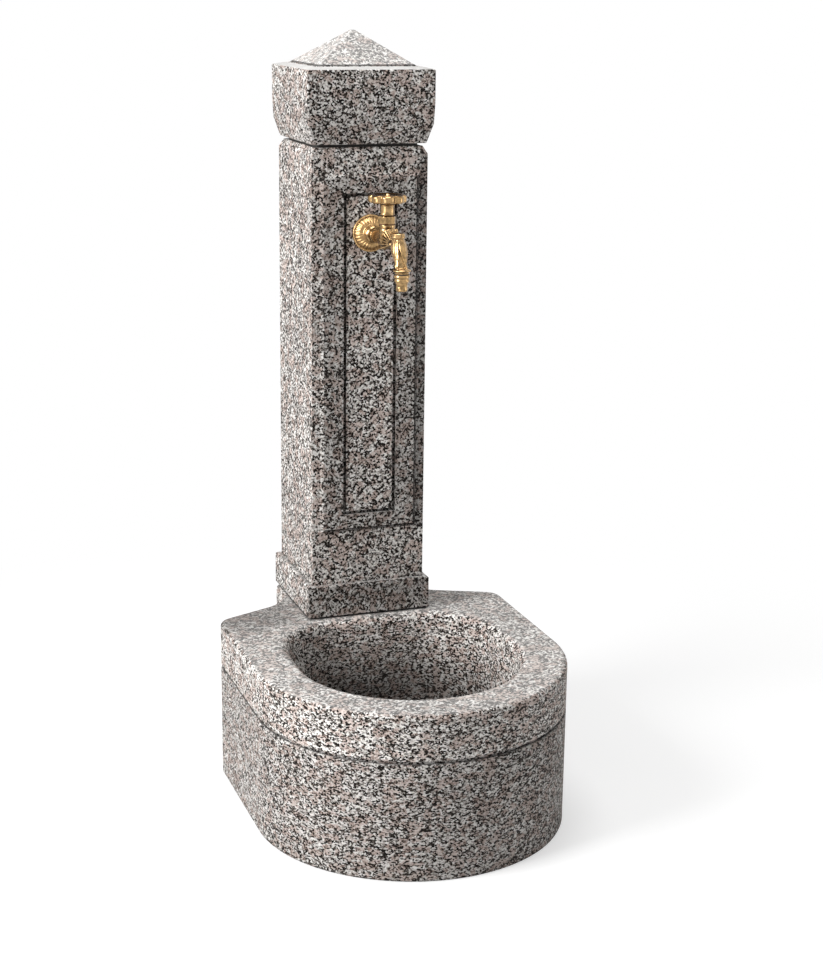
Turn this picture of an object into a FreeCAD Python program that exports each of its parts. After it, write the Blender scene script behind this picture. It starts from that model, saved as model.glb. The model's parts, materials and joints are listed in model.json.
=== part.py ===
import FreeCAD, Part
import math
import os
from FreeCAD import Vector

# Granite garden fountain: a basin, a square column with a cap, and an ornamental brass tap.
# Millimetres, +Z up. The origin is on the ground under the middle of the overall box,
# and the tap faces -Y.

os.makedirs("parts", exist_ok=True)

# Basin
basin_width = 450.0
overall_depth = 600.0
basin_height = 240.0
rear_corner_radius = 28.0
shoulder_setback = 147.0
neck_length = 91.0
shoulder_fillet = 70.0
neck_width = 198.0
neck_corner_radius = 20.0
rim_rounding = 6.0
groove_below_rim = 66.0
groove_width = 4.0
groove_depth = 4.0

# Bowl in the basin
rim_width = 65.0
bowl_back_ledge = 15.0
bowl_corner_radius = 105.0
bowl_depth = 150.0
bowl_draft = 24.0
bowl_floor_rounding = 32.0
bowl_floor_steps = 4
bowl_lip_rounding = 12.0
bowl_lip_steps = 3

# Column
bed_thickness = 3.0
bed_inset = 8.0
plinth_width = 190.0
plinth_height = 48.0
plinth_bevel = 2.0
shaft_width = 174.0
shaft_height = 649.0
shaft_top_bevel_in = 6.0
shaft_top_bevel_down = 11.0

# Raised panel on the front of the shaft
panel_margin = 12.0
panel_foot = 81.0
panel_head = 37.0
panel_bevel = 6.0
panel_raise = 5.0
band_side = 28.0
band_end = 21.0
field_sink = 3.0
kerf_width = 5.0
kerf_depth = 5.0

# Cap
cap_bed_thickness = 4.0
cap_bed_inset = 12.0
cap_width = 190.0
cap_foot_width = 171.0
cap_foot_height = 56.0
cap_swell = 3.5
cap_band_height = 48.0
ledge_rise = 4.0
pyramid_width = 148.0
pyramid_height = 48.0
pyramid_blunt = 3.0
pyramid_kerf = 3.0

# Stainless dowels that keep the stones in line
dowel_diameter = 16.0
dowel_length = 110.0
dowel_spacing = 130.0
cap_dowel_length = 80.0
dowel_clearance = 0.5

# Supply line inside the stones
riser_bore = 60.0
riser_bore_over_tap = 34.0
front_bore = 34.0
pipe_diameter = 15.0
pipe_wall = 1.0
pipe_clearance = 0.1
waterway = 13.0
pipe_thread = 20.96
thread_clearance = 0.1
socket_wall = 3.0
socket_depth = 16.0
extension_length = 48.0
male_thread_length = 15.0
elbow_reach = 33.0
elbow_drop = 28.0
compression_thread = 22.0
pipe_insertion = 16.0
compression_nut_flats = 26.0
nut_overlap = 11.0
nut_shoulder = 3.0
olive_width = 5.0
olive_wall = 1.8
olive_bevel = 1.2
adaptor_lift = 2.0
adaptor_height = 34.0
adaptor_flats = 27.0
adaptor_hexagon = 20.0
adaptor_socket_depth = 15.0

# Drain
drain_thread = 42.0
drain_bore = 36.0
drain_throat = 38.0
drain_hole = 46.0
drain_flange = 66.0
drain_flange_thickness = 5.0
drain_gasket_thickness = 2.0
drain_tail_lift = 3.0
drain_clearance = 0.5
drain_pocket = 100.0
drain_pocket_depth = 40.0
drain_washer_thickness = 3.0
drain_nut_flats = 60.0
drain_nut_height = 9.0
grate_diameter = 56.0
grate_thickness = 2.0
grate_slots = 10
grate_slot_width = 3.0
grate_slot_inner = 10.0
grate_slot_outer = 24.0
cross_width = 4.0
cross_height = 12.0
cross_bite = 1.0
boss_diameter = 12.0
strainer_screw_diameter = 5.0
strainer_screw_head = 10.0
strainer_screw_length = 12.0
strainer_screw_crown = 7.0
strainer_screw_rise = 2.0
strainer_screw_room = 1.0
strainer_screw_slot = 1.0

# Tap: places of its axes
tap_over_plinth = 527.0
tap_reach = 75.0
spout_reach = 48.0
nozzle_reach = 65.0

# Tap: rosette and inlet
rosette_diameter = 54.0
rosette_depth = 14.0
rosette_rim = 3.0
rosette_edge = 1.5
rosette_swell = 2.5
rosette_hub = 25.0
rosette_wall = 2.5
rosette_ribs = 28
rosette_rib_height = 1.8
rosette_clearance = 0.3
shoulder_diameter = 25.0
shoulder_length = 4.0
shoulder_bevel = 1.0
shoulder_fall = 3.0
inlet_neck = 19.0
inlet_swell = 6.0
inlet_swell_gap = 8.0
inlet_tail = 32.0
inlet_bore = 9.0
extension_gap = 1.5

# Tap: valve tower, seat and passages
tower_diameter = 23.0
tower_over_inlet = 22.0
barrel_diameter = 22.0
arm_diameter = 20.0
seat_over_inlet = 4.0
seat_bore = 8.0
seat_rim = 1.5
seat_passage_drop = 4.5
chamber_diameter = 16.0
chamber_outlet_rise = 8.0
bonnet_thread = 17.5
bonnet_thread_length = 6.0
passage = 7.2

# Tap: shell between tower and spout
shell_thickness = 20.0
shell_length = 31.0
shell_height = 21.0
shell_hinge = 11.0
shell_hinge_drop = 6.0
shell_root = 4.0
shell_ribs = 7
shell_rib_height = 2.2
shell_rib_root = 1.0
shell_rib_fill = 0.36
shell_rib_stations = (0.12, 0.6, 1.02)
shell_rib_margin = 3.0
shell_first_angle = -8.0
shell_last_angle = 84.0

# Tap: spout
collar_over_inlet = 16.0
collar_diameter = 21.0
collar_height = 7.0
collar_bevel = 1.5
spout_neck = 17.0
spout_neck_drop = 6.0
spout_neck_lean = 3.0
spout_swell = 24.0
spout_swell_drop = 17.0
spout_swell_lean = 8.0
spout_waist = 18.0
spout_waist_rise = 5.0
spout_waist_lean = 14.5
spout_drop = 38.0
spout_facets = 8
lip_diameter = 25.0
lip_height = 7.0
lip_edge = 1.0
leaf_width = 11.0
leaf_thickness = 4.0
leaf_ridge = 1.3
leaf_curl = 4.0
leaf_widths = (0.45, 1.0, 0.8, 0.4, 0.1)
leaf_stations = (0.0, 0.42, 0.7, 0.94, 1.0)
nozzle_thread = 15.0
nozzle_thread_length = 8.0
nozzle_washer_thickness = 1.0
nozzle_washer_inset = 0.5
nozzle_band = 22.0
nozzle_band_height = 10.0
nozzle_bead = 0.75
nozzle_bead_height = 7.0
nozzle_groove = 1.0
nozzle_groove_height = 5.0
nozzle_band_bevel = 2.5
nozzle_throat = 3.0
nozzle_diameter = 16.5
nozzle_length = 13.0
nozzle_bore = 11.0

# Tap: headwork
gasket_thickness = 1.0
bonnet_flats = 24.0
bonnet_hexagon = 11.0
bonnet_neck = 16.0
bonnet_neck_height = 8.0
guide_side = 10.0
guide_clearance = 0.2
stuffing_bore = 12.4
stuffing_floor = 2.5
stuffing_rise = 0.5
packing_height = 4.5
gland_gap = 1.0
gland_diameter = 21.0
gland_height = 15.0
gland_bevel = 1.0
gland_headroom = 0.5
spindle_diameter = 8.0
spindle_thread = 6.0
running_clearance = 0.05
free_clearance = 0.3
spindle_collar = 2.0
valve_lift = 6.0
jumper_flange = 14.0
jumper_flange_thickness = 2.0
jumper_height = 18.5
jumper_washer_thickness = 3.0
jumper_washer_diameter = 13.0
washer_screw_diameter = 3.0
washer_screw_head = 6.0
washer_screw_head_height = 1.8
washer_screw_length = 7.0
washer_screw_room = 1.0

# Tap: handwheel
wheel_diameter = 55.0
wheel_height = 11.0
wheel_lobes = 8
wheel_lobe_radius = 7.5
wheel_notch_radius = 2.0
wheel_notch_depth = 3.8
wheel_gap = 2.5
wheel_dish = 2.0
wheel_dish_diameter = 38.0
wheel_hub = 15.0
wheel_bevel = 1.5
wheel_slope = 3.0
wheel_hollow = 4.0
wheel_square = 6.0
wheel_screw_diameter = 4.0
wheel_screw_head = 9.0
wheel_screw_head_height = 3.0
wheel_screw_length = 9.0
wheel_screw_room = 1.0
wheel_screw_slot = 1.0

# Levels of the stones, from the ground up
plinth_z = basin_height + bed_thickness
shaft_z = plinth_z + plinth_height
shaft_top = shaft_z + shaft_height
cap_z = shaft_top + cap_bed_thickness
band_z = cap_z + cap_foot_height
ledge_z = band_z + cap_band_height
pyramid_z = ledge_z + ledge_rise
apex_z = pyramid_z + pyramid_height

# Places in plan
front_y = -overall_depth / 2
back_y = overall_depth / 2
column_y = back_y - plinth_width / 2
shaft_front = column_y - shaft_width / 2
panel_front = shaft_front - panel_raise
field_y = panel_front + field_sink
bowl_half = basin_width / 2 - rim_width
bowl_front = front_y + rim_width
bowl_back = back_y - plinth_width - bowl_back_ledge
drain_y = (bowl_front + bowl_back) / 2
bowl_floor = basin_height - bowl_depth

# Places of the tap
tap_z = shaft_z + tap_over_plinth
valve_y = field_y - tap_reach
spout_y = valve_y - spout_reach
nozzle_y = valve_y - nozzle_reach
seat_z = tap_z + seat_over_inlet
tower_top = tap_z + tower_over_inlet
bonnet_z = tower_top + gasket_thickness
bonnet_top = bonnet_z + bonnet_hexagon
stuffing_z = bonnet_top + stuffing_rise
gland_z = bonnet_top + gland_gap
gland_top = gland_z + gland_height
wheel_z = gland_top + wheel_gap
wheel_top = wheel_z + wheel_height
spout_end_z = tap_z - spout_drop
jumper_z = seat_z + jumper_washer_thickness
jumper_top = jumper_z + jumper_height
jumper_bore_z = seat_z + washer_screw_length + washer_screw_room

up = Vector(0, 0, 1)


def save(name, shape):
    """Write one named piece."""
    shape.exportStep("parts/" + name + ".step")


def rounded(corners, z):
    """Closed wire through (x, y, radius) corners, each rounded by a tangent arc."""
    count = len(corners)
    points = [Vector(x, y, z) for x, y, radius in corners]
    arcs = []
    for i in range(count):
        corner = points[i]
        back = (points[i - 1] - corner).normalize()
        ahead = (points[(i + 1) % count] - corner).normalize()
        half = back.getAngle(ahead) / 2
        radius = corners[i][2]
        run = radius / math.tan(half)
        bisector = (back + ahead).normalize()
        middle = corner + bisector * (radius / math.sin(half) - radius)
        arcs.append((corner + back * run, middle, corner + ahead * run))
    edges = []
    for i in range(count):
        start, middle, end = arcs[i]
        edges.append(Part.Arc(start, middle, end).toShape())
        next_start = arcs[(i + 1) % count][0]
        if end.distanceToPoint(next_start) > 0.001:
            edges.append(Part.makeLine(end, next_start))
    return Part.Wire(edges)


def prism(wire, height):
    """Solid between a level wire and its copy at the given height above it."""
    return Part.Face(wire).extrude(up * height)


def cylinder(diameter, z0, z1, y=0.0, x=0.0):
    """Upright cylinder between two levels."""
    return Part.makeCylinder(diameter / 2, z1 - z0, Vector(x, y, z0))


def clear_hole(diameter, z0, z1, y=0.0):
    """Upright hole that a thread of the given diameter enters freely."""
    return cylinder(diameter + 2 * thread_clearance, z0, z1, y)


def ring(outer, inner, z0, z1, y=0.0):
    """Upright tube between two levels."""
    return cylinder(outer, z0, z1, y).cut(cylinder(inner, z0, z1, y))


def rod(start, end, diameter):
    """Cylinder between two points."""
    return Part.makeCylinder(diameter / 2, start.distanceToPoint(end), start, end - start)


def hexagon(flats, z0, z1, y=0.0):
    """Upright hexagonal prism with two flats facing -Y and +Y."""
    corner = flats / math.sqrt(3)
    angles = [math.radians(60 * i) for i in range(7)]
    points = [Vector(corner * math.cos(a), y + corner * math.sin(a), z0) for a in angles]
    return prism(Part.makePolygon(points), z1 - z0)


def flat_faces(corners):
    """One flat face through four corners, or two triangles where the four are not in a plane."""
    a, b, c, d = corners
    normal = (b - a).cross(c - a).normalize()
    if abs((d - a).dot(normal)) < 0.00001:
        return [Part.Face(Part.makePolygon([a, b, c, d, a]))]
    return [Part.Face(Part.makePolygon([a, b, c, a])), Part.Face(Part.makePolygon([a, c, d, a]))]


def skin(sections):
    """Solid through polygons with equal numbers of corners, flat between them."""
    faces = [Part.Face(Part.makePolygon(s + s[:1])) for s in (sections[0], sections[-1])]
    for low, high in zip(sections, sections[1:]):
        for i in range(len(low)):
            j = (i + 1) % len(low)
            faces += flat_faces([low[i], low[j], high[j], high[i]])
    shell = Part.makeShell(faces)
    shell.sewShape()
    solid = Part.makeSolid(shell)
    if solid.Volume < 0:
        solid.reverse()
    return solid


def square(width, z, y):
    """Corners of a square of the given width about x = 0."""
    half = width / 2
    points = [Vector(-half, y - half, z), Vector(half, y - half, z)]
    return points + [Vector(half, y + half, z), Vector(-half, y + half, z)]


def square_block(width, z0, z1, y):
    """Square block about x = 0 between two levels."""
    return skin([square(width, z0, y), square(width, z1, y)])


def square_taper(width0, width1, z0, z1, y):
    """Square frustum between two levels."""
    return skin([square(width0, z0, y), square(width1, z1, y)])


def turned(profile, y=0.0):
    """Solid of revolution about an upright axis from (diameter, z) points."""
    points = [Vector(diameter / 2, 0, z) for diameter, z in profile]
    face = Part.Face(Part.makePolygon(points + points[:1]))
    solid = face.revolve(Vector(0, 0, 0), up, 360)
    solid.translate(Vector(0, y, 0))
    return solid


def faced(solid):
    """Turn a piece modelled about +Z so that it comes out of the panel at the tap's height."""
    solid.rotate(Vector(0, 0, 0), Vector(1, 0, 0), 90)
    solid.translate(Vector(0, field_y, tap_z))
    return solid


def way(start, end, diameter):
    """Drilled waterway between two points, running on by half its width at both ends."""
    on = (end - start).normalize() * (diameter / 2)
    return rod(start - on, end + on, diameter)


def fuse_all(solids):
    """One solid from touching or overlapping solids."""
    return solids[0].fuse(solids[1:]).removeSplitter()


def mirrored(corners):
    """Right-hand corners, bottom to top, joined to their left-hand images."""
    return corners + [(-x, y, radius) for x, y, radius in reversed(corners)]


def basin_plan(z):
    """Outline of the basin: round front, straight sides, sloping shoulders, rounded neck."""
    half = basin_width / 2
    neck = neck_width / 2
    shoulder_y = back_y - shoulder_setback
    neck_y = back_y - neck_length
    right = [(half, front_y, half), (half, shoulder_y, rear_corner_radius)]
    right += [(neck, neck_y, shoulder_fillet), (neck, back_y, neck_corner_radius)]
    return rounded(mirrored(right), z)


def bowl_plan(z, inset):
    """Outline of the bowl: round front, straight back with large corners."""
    half = bowl_half - inset
    right = [(half, bowl_front + inset, half)]
    right += [(half, bowl_back - inset, bowl_corner_radius - inset)]
    return rounded(mirrored(right), z)


def bowl_sections():
    """Outlines of the bowl upwards: rounded edge of the floor, drafted wall, rounded lip."""
    levels = []
    for i in range(bowl_floor_steps + 1):
        a = math.pi / 2 * i / bowl_floor_steps
        rise = bowl_floor_rounding * (1 - math.cos(a))
        levels.append((bowl_floor + rise, bowl_floor_rounding * (1 - math.sin(a))))
    for i in range(bowl_lip_steps + 1):
        a = math.pi / 2 * i / bowl_lip_steps
        fall = bowl_lip_rounding * (1 - math.sin(a))
        levels.append((basin_height - fall, -bowl_lip_rounding * (1 - math.cos(a))))
    return [bowl_plan(z, inset + bowl_draft * (basin_height - z) / bowl_depth) for z, inset in levels]


def edges_at(solid, z):
    """Level edges of a solid at one height."""
    found = []
    for edge in solid.Edges:
        box = edge.BoundBox
        if abs(box.ZMin - z) < 0.01 and abs(box.ZMax - z) < 0.01:
            found.append(edge)
    return found


def make_basin():
    """Block with a rounded rim, a groove all round, the bowl, and bores for drain and supply."""
    block = prism(basin_plan(0), basin_height)
    block = block.makeFillet(rim_rounding, edges_at(block, basin_height))
    groove_z = basin_height - groove_below_rim - groove_width
    outline = basin_plan(groove_z)
    core = prism(outline.makeOffset2D(-groove_depth), groove_width)
    block = block.cut(prism(outline, groove_width).cut(core))
    block = block.cut(Part.makeLoft(bowl_sections(), True, True))
    block = block.cut(cylinder(riser_bore, 0, basin_height, column_y))
    for x in (-dowel_spacing / 2, dowel_spacing / 2):
        hole_bottom = plinth_z - dowel_length / 2
        hole = cylinder(dowel_diameter + 2 * dowel_clearance, hole_bottom, basin_height, column_y, x)
        block = block.cut(hole)
    seat = drain_flange_thickness + drain_gasket_thickness
    seat_bottom = bowl_floor - seat
    flange_hole = drain_flange + 2 * drain_clearance
    block = block.cut(cylinder(flange_hole, seat_bottom, bowl_floor, drain_y))
    block = block.cut(cylinder(drain_hole, 0, seat_bottom, drain_y))
    return block.cut(cylinder(drain_pocket, 0, drain_pocket_depth, drain_y))


def make_column_bed():
    """Thin mortar bed under the plinth, set back from its edges."""
    bed = square_block(plinth_width - 2 * bed_inset, basin_height, plinth_z, column_y)
    bed = bed.cut(cylinder(riser_bore, basin_height, plinth_z, column_y))
    for x in (-dowel_spacing / 2, dowel_spacing / 2):
        bed = bed.cut(cylinder(dowel_diameter, basin_height, plinth_z, column_y, x))
    return bed


def panel(half, z0, z1, y):
    """Corners of an upright rectangle about x = 0, facing the front."""
    return [Vector(-half, y, z0), Vector(half, y, z0), Vector(half, y, z1), Vector(-half, y, z1)]


def make_column():
    """Plinth and shaft in one stone, with the raised panel and the bores for the supply."""
    top_width = plinth_width - 2 * plinth_bevel
    bevel_z = shaft_z - plinth_bevel
    neck_z = shaft_top - shaft_top_bevel_down
    solids = [square_block(plinth_width, plinth_z, bevel_z, column_y)]
    solids += [square_taper(plinth_width, top_width, bevel_z, shaft_z, column_y)]
    solids += [square_block(shaft_width, shaft_z, neck_z, column_y)]
    top = shaft_width - 2 * shaft_top_bevel_in
    solids += [square_taper(shaft_width, top, neck_z, shaft_top, column_y)]
    half = shaft_width / 2 - panel_margin
    low = shaft_z + panel_foot
    high = shaft_top - panel_head
    base = panel(half, low, high, shaft_front)
    half -= panel_bevel
    low += panel_bevel
    high -= panel_bevel
    face = panel(half, low, high, panel_front)
    column = fuse_all(solids + [skin([base, face])])
    half -= band_side
    low += band_end
    high -= band_end
    kerf_y = field_y + kerf_depth
    sunk = skin([panel(half, low, high, panel_front), panel(half, low, high, field_y)])
    kerf = skin([panel(half, low, high, field_y), panel(half, low, high, kerf_y)])
    half -= kerf_width
    low += kerf_width
    high -= kerf_width
    kerf = kerf.cut(skin([panel(half, low, high, field_y), panel(half, low, high, kerf_y)]))
    column = column.cut([sunk, kerf])
    bore_top = tap_z + riser_bore_over_tap
    front = rod(Vector(0, panel_front, tap_z), Vector(0, column_y, tap_z), front_bore)
    column = column.cut([cylinder(riser_bore, plinth_z, bore_top, column_y), front])
    for x in (-dowel_spacing / 2, dowel_spacing / 2):
        hole_top = plinth_z + dowel_length / 2
        hole = cylinder(dowel_diameter + 2 * dowel_clearance, plinth_z, hole_top, column_y, x)
        column = column.cut(hole)
    hole_bottom = cap_z - cap_dowel_length / 2
    hole = cylinder(dowel_diameter + 2 * dowel_clearance, hole_bottom, shaft_top, column_y)
    return column.cut(hole)


def make_cap_bed():
    """Thin mortar bed between shaft and cap, set back from both."""
    width = shaft_width - 2 * cap_bed_inset
    bed = square_block(width, shaft_top, cap_z, column_y)
    return bed.cut(cylinder(dowel_diameter, shaft_top, cap_z, column_y))


def make_cap():
    """Cap: tapered, slightly swelling foot, straight band, sloping ledge and low pyramid."""
    middle_z = cap_z + cap_foot_height / 2
    middle_width = (cap_foot_width + cap_width) / 2 + 2 * cap_swell
    pyramid_foot = pyramid_width + 2 * pyramid_kerf
    solids = [square_taper(cap_foot_width, middle_width, cap_z, middle_z, column_y)]
    solids += [square_taper(middle_width, cap_width, middle_z, band_z, column_y)]
    solids += [square_block(cap_width, band_z, ledge_z, column_y)]
    solids += [square_taper(cap_width, pyramid_foot, ledge_z, pyramid_z, column_y)]
    cap = fuse_all(solids)
    kerf_z = pyramid_z - pyramid_kerf
    kerf = square_block(pyramid_foot, kerf_z, pyramid_z, column_y)
    kerf = kerf.cut(square_block(pyramid_width, kerf_z, pyramid_z, column_y))
    pyramid = square_taper(pyramid_width, 2 * pyramid_blunt, pyramid_z, apex_z, column_y)
    cap = fuse_all([cap.cut(kerf), pyramid])
    hole_top = cap_z + cap_dowel_length / 2
    return cap.cut(cylinder(dowel_diameter + 2 * dowel_clearance, cap_z, hole_top, column_y))


def make_column_dowels():
    """Two pins between basin and plinth, beside the supply bore."""
    half = dowel_length / 2
    places = (-dowel_spacing / 2, dowel_spacing / 2)
    pins = [cylinder(dowel_diameter, plinth_z - half, plinth_z + half, column_y, x) for x in places]
    return Part.makeCompound(pins)


def make_cap_dowel():
    """Pin between shaft and cap."""
    half = cap_dowel_length / 2
    return cylinder(dowel_diameter, cap_z - half, cap_z + half, column_y)


def make_extension_piece():
    """Brass extension: socket for the tap's tail in front, thread into the elbow behind."""
    outer = pipe_thread + 2 * thread_clearance + 2 * socket_wall
    front = -rosette_wall - extension_gap
    rear = front - extension_length
    end = rear - male_thread_length
    piece = cylinder(outer, rear, front).fuse(cylinder(pipe_thread, end, rear))
    piece = piece.cut(clear_hole(pipe_thread, front - socket_depth, front))
    return faced(piece.cut(cylinder(waterway, end, front)))


def make_tap_elbow():
    """Elbow: socket towards the tap, compression end for the riser below."""
    outer = pipe_thread + 2 * thread_clearance + 2 * socket_wall
    mouth = column_y - elbow_reach
    centre = Vector(0, column_y, tap_z)
    foot = Vector(0, column_y, tap_z - elbow_drop)
    socket_end = Vector(0, mouth + socket_depth, tap_z)
    solids = [rod(Vector(0, mouth, tap_z), socket_end, outer)]
    solids += [rod(socket_end, centre, compression_thread)]
    solids += [rod(centre, foot, compression_thread)]
    solids += [Part.makeSphere(compression_thread / 2, centre)]
    elbow = fuse_all(solids)
    hole = pipe_thread + 2 * thread_clearance
    elbow = elbow.cut(rod(Vector(0, mouth, tap_z), socket_end, hole))
    stop = Vector(0, column_y, tap_z - elbow_drop + pipe_insertion)
    elbow = elbow.cut(rod(foot, stop, pipe_diameter + 2 * pipe_clearance))
    ways = rod(socket_end, centre, waterway).fuse(rod(centre, stop, waterway))
    return elbow.cut(ways.fuse(Part.makeSphere(waterway / 2, centre)))


def make_riser_pipe():
    """Copper pipe from the adaptor at the ground to the elbow behind the tap."""
    low = adaptor_lift + adaptor_height - pipe_insertion
    high = tap_z - elbow_drop + pipe_insertion
    return ring(pipe_diameter, pipe_diameter - 2 * pipe_wall, low, high, column_y)


def make_inlet_adaptor():
    """Hexagonal adaptor: pipe-thread socket facing down, compression end above."""
    low = adaptor_lift
    shoulder = low + adaptor_hexagon
    top = low + adaptor_height
    stop = top - pipe_insertion
    piece = hexagon(adaptor_flats, low, shoulder, column_y)
    piece = piece.fuse(cylinder(compression_thread, shoulder, top, column_y))
    piece = piece.cut(clear_hole(pipe_thread, low, low + adaptor_socket_depth, column_y))
    piece = piece.cut(cylinder(pipe_diameter - 2 * pipe_wall, low, stop, column_y))
    return piece.cut(cylinder(pipe_diameter + 2 * pipe_clearance, stop, top, column_y))


def compression_nut(mouth, side):
    """Nut over a compression end; side is +1 where the pipe leaves upwards, -1 downwards."""
    inner = sorted((mouth - side * nut_overlap, mouth + side * olive_width))
    outer = sorted((mouth + side * olive_width, mouth + side * (olive_width + nut_shoulder)))
    nut = hexagon(compression_nut_flats, min(inner + outer), max(inner + outer), column_y)
    nut = nut.cut(clear_hole(compression_thread, inner[0], inner[1], column_y))
    return nut.cut(cylinder(pipe_diameter + 2 * pipe_clearance, outer[0], outer[1], column_y))


def olive(mouth, side):
    """Barrel-shaped soft ring squeezed between a nut's shoulder and the fitting's mouth."""
    low, high = sorted((mouth, mouth + side * olive_width))
    crown = pipe_diameter + 2 * olive_wall
    rim = crown - 2 * olive_bevel
    profile = [(pipe_diameter, low), (rim, low), (crown, low + olive_bevel)]
    profile += [(crown, high - olive_bevel), (rim, high), (pipe_diameter, high)]
    return turned(profile, column_y)


def compression_ends():
    """Mouth level and side of the two compression ends on the riser."""
    return [(tap_z - elbow_drop, -1), (adaptor_lift + adaptor_height, 1)]


def make_waste_body():
    """Flanged drain body with a cross and a boss for the strainer's screw."""
    low = drain_tail_lift
    flange_z = bowl_floor - drain_flange_thickness
    body = cylinder(drain_thread, low, flange_z, drain_y)
    body = body.fuse(cylinder(drain_flange, flange_z, bowl_floor, drain_y))
    recess_z = bowl_floor - grate_thickness
    cross_z = recess_z - cross_height
    body = body.cut(cylinder(drain_bore, low, cross_z, drain_y))
    body = body.cut(cylinder(drain_throat, cross_z, recess_z, drain_y))
    body = body.cut(cylinder(grate_diameter + 2 * drain_clearance, recess_z, bowl_floor, drain_y))
    bar_length = drain_throat + 2 * cross_bite
    bar = Part.makeBox(bar_length, cross_width, cross_height)
    bar.translate(Vector(-bar_length / 2, drain_y - cross_width / 2, cross_z))
    other = bar.copy()
    other.rotate(Vector(0, drain_y, 0), up, 90)
    body = fuse_all([body, bar, other, cylinder(boss_diameter, cross_z, recess_z, drain_y)])
    return body.cut(clear_hole(strainer_screw_diameter, cross_z, recess_z, drain_y))


def make_waste_gasket():
    """Rubber ring between the drain's flange and the stone."""
    high = bowl_floor - drain_flange_thickness
    return ring(drain_flange, drain_thread, high - drain_gasket_thickness, high, drain_y)


def make_waste_washer():
    """Rubber ring between the stone's underside pocket and the lock nut."""
    low = drain_pocket_depth - drain_washer_thickness
    return ring(drain_nut_flats, drain_thread, low, drain_pocket_depth, drain_y)


def make_waste_lock_nut():
    """Thin hexagon nut that holds the drain from below."""
    high = drain_pocket_depth - drain_washer_thickness
    nut = hexagon(drain_nut_flats, high - drain_nut_height, high, drain_y)
    return nut.cut(clear_hole(drain_thread, high - drain_nut_height, high, drain_y))


def make_strainer_grate():
    """Flat round grate with radial slots and a hole for its screw."""
    low = bowl_floor - grate_thickness
    grate = cylinder(grate_diameter, low, bowl_floor, drain_y)
    slot_length = grate_slot_outer - grate_slot_inner
    slots = [clear_hole(strainer_screw_diameter, low, bowl_floor, drain_y)]
    for i in range(grate_slots):
        slot = Part.makeBox(slot_length, grate_slot_width, grate_thickness)
        slot.translate(Vector(grate_slot_inner, drain_y - grate_slot_width / 2, low))
        slot.rotate(Vector(0, drain_y, 0), up, 360 * i / grate_slots)
        slots.append(slot)
    return grate.cut(slots)


def make_strainer_screw():
    """Slotted round-head screw that holds the grate down."""
    top = bowl_floor + strainer_screw_rise
    side = top - strainer_screw_slot
    tip = bowl_floor - grate_thickness - strainer_screw_length + strainer_screw_room
    profile = [(0, tip), (strainer_screw_diameter, tip), (strainer_screw_diameter, bowl_floor)]
    profile += [(strainer_screw_head, bowl_floor), (strainer_screw_head, side)]
    profile += [(strainer_screw_crown, top), (0, top)]
    screw = turned(profile, drain_y)
    slot = Part.makeBox(strainer_screw_head, strainer_screw_slot, strainer_screw_slot)
    slot.translate(Vector(-strainer_screw_head / 2, drain_y - strainer_screw_slot / 2, side))
    return screw.cut(slot)


def rosette_ring(reach, valley, ridge):
    """Corners round the rosette, by turns in a valley and on a rib."""
    corners = []
    for i in range(2 * rosette_ribs):
        a = math.pi * i / rosette_ribs
        level = ridge if i % 2 else valley
        corners.append(Vector(reach * math.cos(a), reach * math.sin(a), level))
    return corners


def make_rosette():
    """Domed wall flange with radial ribs, hollow behind, clamped by the tap's shoulder."""
    hub_start = rosette_depth - rosette_wall
    slope = rosette_diameter / 2 - rosette_edge
    hub = rosette_hub / 2
    knee_z = hub_start - rosette_swell
    sections = [rosette_ring(rosette_diameter / 2, 0, 0)]
    sections += [rosette_ring(rosette_diameter / 2, rosette_rim, rosette_rim)]
    sections += [rosette_ring(slope, rosette_rim, rosette_rim + rosette_rib_height)]
    sections += [rosette_ring((slope + hub) / 2, knee_z, knee_z + rosette_rib_height)]
    sections += [rosette_ring(hub, hub_start, hub_start)]
    sections += [rosette_ring(hub, rosette_depth, rosette_depth)]
    hollow_z = hub_start - rosette_wall
    inside = 2 * (slope - rosette_wall)
    hollow = [(0, 0), (inside, 0), (inside, rosette_edge)]
    hollow += [(rosette_hub - rosette_wall, hollow_z), (0, hollow_z)]
    hole = pipe_thread + 2 * rosette_clearance
    return faced(skin(sections).cut([turned(hollow), cylinder(hole, 0, rosette_depth)]))


def spout_ring(diameter, y, z):
    """Level faceted section of the spout."""
    corner = diameter / 2 / math.cos(math.pi / spout_facets)
    angles = [2 * math.pi * (i + 0.5) / spout_facets for i in range(spout_facets)]
    return [Vector(corner * math.cos(a), y + corner * math.sin(a), z) for a in angles]


def spout_leaf(angle, axis_y, top, bottom):
    """Pointed leaf laid down the spout from its collar, its tip curling out over the lip."""
    ridge = spout_swell / 2
    tip = lip_diameter / 2
    reaches = (spout_neck / 2, ridge, ridge - leaf_ridge, tip, tip + leaf_curl)
    sections = []
    for reach, share, width in zip(reaches, leaf_stations, leaf_widths):
        z = top - (top - bottom) * share
        half = leaf_width / 2 * width
        row = [(reach - leaf_thickness, -half), (reach, -half), (reach + leaf_ridge, 0)]
        row += [(reach, half), (reach - leaf_thickness, half)]
        sections.append([Vector(x, y, z) for x, y in row])
    leaf = skin(sections)
    leaf.rotate(Vector(0, 0, 0), up, angle)
    leaf.translate(Vector(0, axis_y, 0))
    return leaf


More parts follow.
